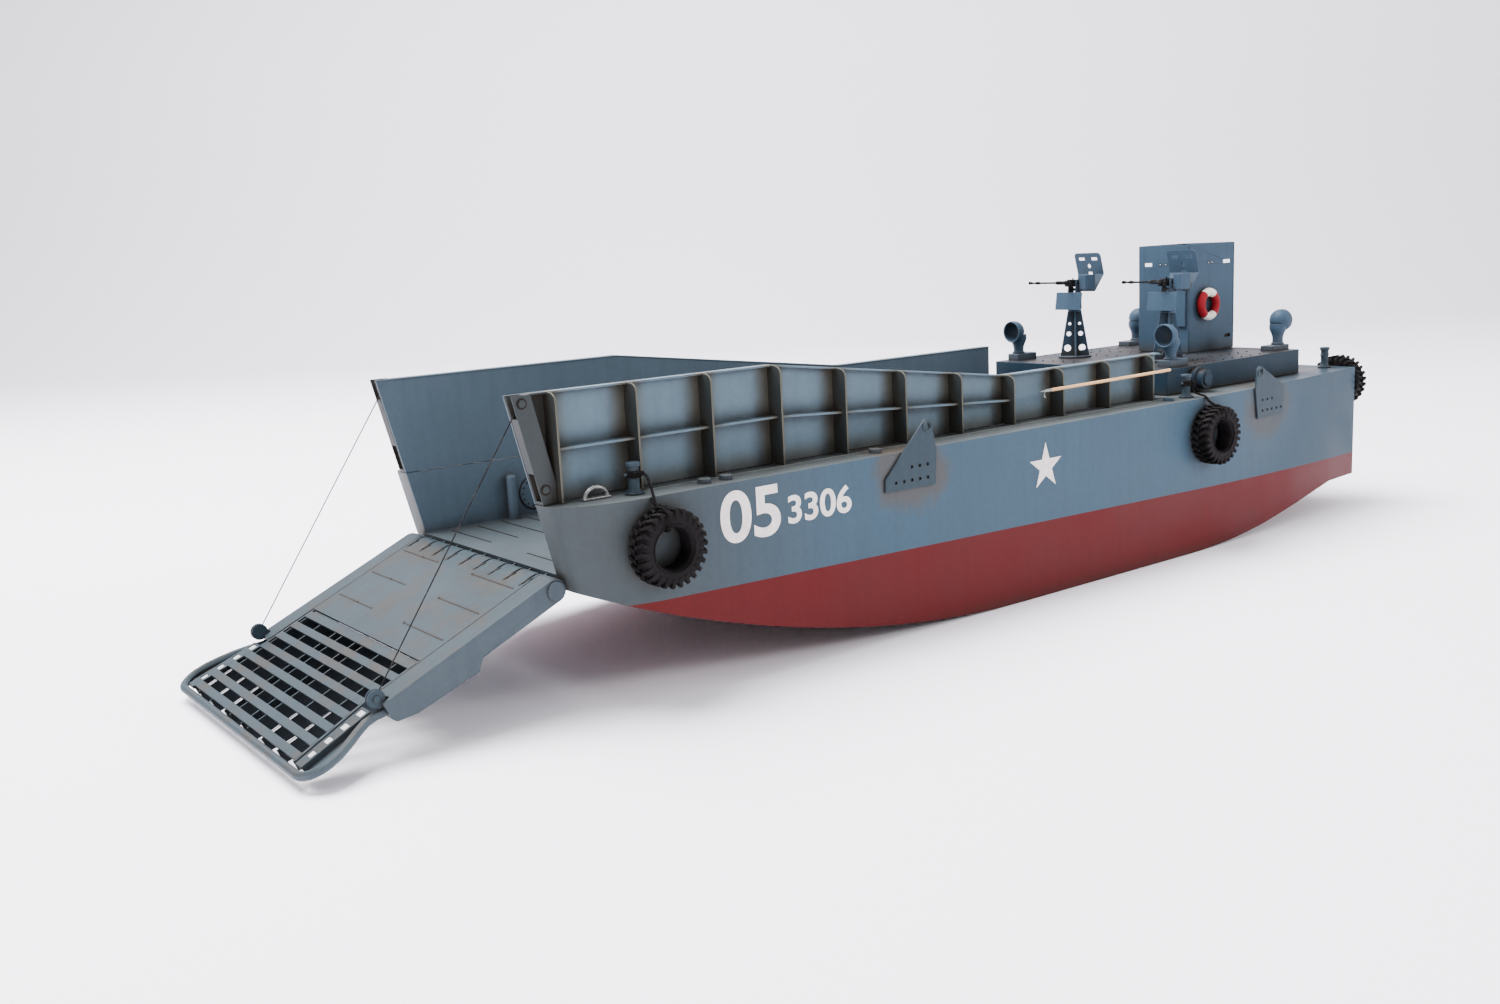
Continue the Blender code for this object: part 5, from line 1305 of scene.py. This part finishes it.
# %% Fill the tabs' gaps with pale pads of painted light
SEEN_THROUGH_LIGHT_TONE, PAD_ROWS, GAP = (0.42, 0.42, 0.43), (3, 4, 5, 6), PLANK_PITCH - PLANK_WIDTH
PAD_INNER, PAD_OUTER = 0.0897, 0.0988
OUTER_FLARE_FIRST_U, OUTER_FLARE = 0.1312, 0.11
SQUARES_Y, SQUARE_EASE = (-0.083, -0.057, -0.029, 0.042, 0.069), 0.0003
# Row of the grating, width of its squares, and where they are across it
SQUARE_ROWS = ((4, 0.0020, SQUARES_Y[-1:]), (5, 0.0026, SQUARES_Y), (6, 0.0034, SQUARES_Y))
pads = []
for k in PAD_ROWS:
    low = PLANK_FIRST_U + PLANK_PITCH * k + PLANK_WIDTH
    inner = PAD_INNER + FLARE * (low - FLARE_FIRST_U)
    outer = PAD_OUTER + OUTER_FLARE * (low - OUTER_FLARE_FIRST_U)
    for _, sign in SIDES:
        near, far = sorted((sign * inner, sign * outer))
        pads.append(block("light_seen_through", (low, near, 0.0054), (low + GAP, far, 0.0061), 0.0001, 1))
for k, wide, places in SQUARE_ROWS:
    low = PLANK_FIRST_U + PLANK_PITCH * k + PLANK_WIDTH - PLANK_TRIM
    high = low + GAP + 2 * PLANK_TRIM
    for y in places:
        pads.append(block("square", (low + SQUARE_EASE, y - wide / 2, RAMP_TOP_W - 0.0014),
                          (high - SQUARE_EASE, y + wide / 2, RAMP_TOP_W - 0.0010), 0.0001, 1))
# Painted light: the pale pads stand for the lit floor seen through the gaps
FINISH["light_seen_through"] = paint("pad_coat", SEEN_THROUGH_LIGHT_TONE, grime=0.3)
dress(settle(joined("tab_pads", pads), "tab_pads", ramp_frame()), "ramp_paint", "ramp", finish="light_seen_through")

# %% [markdown]
# ## Small holes of the pilothouse
#
# Round holes pierce the walls near the top, dark inside, and light shows in them. At so small a size
# a thin disc of painted shade with a smaller pale disc of painted light on it stands for each. A
# dark plate of painted shade stands behind the low slot, for the shaded inside seen through it.

# %% Mark the pilothouse's small holes
HOLE_Z, WALL_Y, WALL_X, HOUSE_MIDDLE_X = 0.2423, 0.0287, -0.3098, -0.34725
SIDE_HOLES_X, FRONT_HOLES_Y = (-0.3480, -0.3420, -0.3240), (-0.0032, 0.0032, 0.0095)
SHADE_DISC_PROFILE, LIGHT_DISC_PROFILE = [(0, 0.0014), (0.0001, 0.0013)], [(0, 0.0007), (0.0002, 0.0006)]
shade_discs, light_discs = [], []
for _, sign in SIDES:
    # Painted shade: a dark plate for the shaded inside behind the low slot
    shade_discs.append(block("inside_shade_plate", (-0.3800, min(sign * 0.0255, sign * 0.0265), 0.1660),
                      (-0.3680, max(sign * 0.0255, sign * 0.0265), 0.1735), 0.0001, 1))
holes = [((x, WALL_Y, HOLE_Z), (0, 1, 0)) for x in SIDE_HOLES_X]
holes += [((2 * HOUSE_MIDDLE_X - x, -WALL_Y, HOLE_Z), (0, -1, 0)) for x in SIDE_HOLES_X]
holes += [((WALL_X, y, HOLE_Z), (1, 0, 0)) for y in FRONT_HOLES_Y]
for place, outward in holes:
    # Painted shade and painted light: a dark disc for each hole, and a pale one for the light in it
    shade_discs.append(turned("rim", SHADE_DISC_PROFILE, place, outward, 16))
    light_discs.append(turned("light_disc", LIGHT_DISC_PROFILE, place, outward, 12))
dress(joined("hole_shade_discs", shade_discs), "deckhouse_paint", "hull", finish="wash_and_shade")
dress(joined("hole_light_discs", light_discs), "deckhouse_paint", "hull", finish="light_seen_through")

# %% [markdown]
# ## Painted marks
#
# The star is a ten-sided disc whose every other corner is drawn in, laid on the hull's side with
# hardly any thickness. Plain numerals stand where the real model has its lettering.

# %% Lay the star and the numerals
MARK_T, MARK_TONE, MARK_WORN_TONE = 0.00015, (0.6880, 0.6400, 0.6080), (0.5600, 0.5200, 0.4960)
STAR_X, STAR_Z, STAR_R, STAR_WAIST = 0.0182, 0.1026, 0.0190, 0.382
HALF_BEAM = 0.134
NUMERAL_WEIGHT = 0.022


def mark_finish():
    """White paint, worn in patches."""
    mix = Finish("mark_white")
    mix.feed("Base Color", mix.blend(mix.speckle(160.0, 4.0, 0.3, 0.75), MARK_TONE, MARK_WORN_TONE))
    return mix.material


FINISH["mark"] = mark_finish()


def lay_mark(piece, name, sign, middle_x, middle_z):
    """Turns a flat mark to face outwards on one side of the hull."""
    turn = Matrix(((-1, 0, 0, 0), (0, 0, 1, 0), (0, 1, 0, 0), (0, 0, 0, 1)))
    if sign < 0:
        turn = Matrix(((1, 0, 0, 0), (0, 0, -1, 0), (0, 1, 0, 0), (0, 0, 0, 1)))
    settle(piece, name, Matrix.Translation((middle_x, sign * HALF_BEAM, middle_z)) @ turn)
    coat(piece, "mark")
    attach(piece, "hull")


def make_star():
    """A thin five-pointed star: every other corner of a disc is drawn in."""
    bpy.ops.object.select_all(action="DESELECT")
    bpy.ops.mesh.primitive_circle_add(vertices=10, radius=STAR_R, fill_type="NGON")
    star = settle(bpy.context.object, "star")
    by_turn = sorted(star.data.vertices,
                     key=lambda vertex: (math.atan2(vertex.co.x, vertex.co.y) + 0.1) % (2 * math.pi))
    for vertex in by_turn[1::2]:
        vertex.co *= STAR_WAIST
    editing(star, "FACE")
    bpy.ops.mesh.extrude_region_move(TRANSFORM_OT_translate={"value": (0, 0, MARK_T)})
    bpy.ops.mesh.select_all(action="SELECT")
    bpy.ops.mesh.normals_make_consistent(inside=False)
    bpy.ops.object.mode_set(mode="OBJECT")
    return star


def make_numeral(text, height, width):
    """A plain numeral of a given height and width, made a mesh."""
    bpy.ops.object.select_all(action="DESELECT")
    bpy.ops.object.text_add()
    label = bpy.context.object
    label.data.body = text
    label.data.size = 1.0
    label.data.extrude = 0.5
    label.data.offset = NUMERAL_WEIGHT
    label.data.align_x = label.data.align_y = "CENTER"
    bpy.ops.object.convert(target="MESH")
    numeral = bpy.context.object
    spans = [[vertex.co[axis] for vertex in numeral.data.vertices] for axis in range(3)]
    low = Vector([min(span) for span in spans])
    size = Vector([max(span) for span in spans]) - low
    numeral.data.transform(Matrix.Diagonal((width / size.x, height / size.y, MARK_T / size.z, 1))
                           @ Matrix.Translation(-low - Vector((size.x / 2, size.y / 2, 0))))
    return numeral


# Text, height, width and middle of each numeral, from the bow aft
NUMERALS = (("05", 0.0345, 0.0490, 0.3051, 0.1112), ("3306", 0.0195, 0.0560, 0.2462, 0.1087))
for side, sign in SIDES:
    lay_mark(make_star(), f"star_{side}", sign, STAR_X, STAR_Z)
    for text, height, width, middle_x, middle_z in NUMERALS:
        lay_mark(make_numeral(text, height, width), f"number_{text}_{side}", sign, middle_x, middle_z)
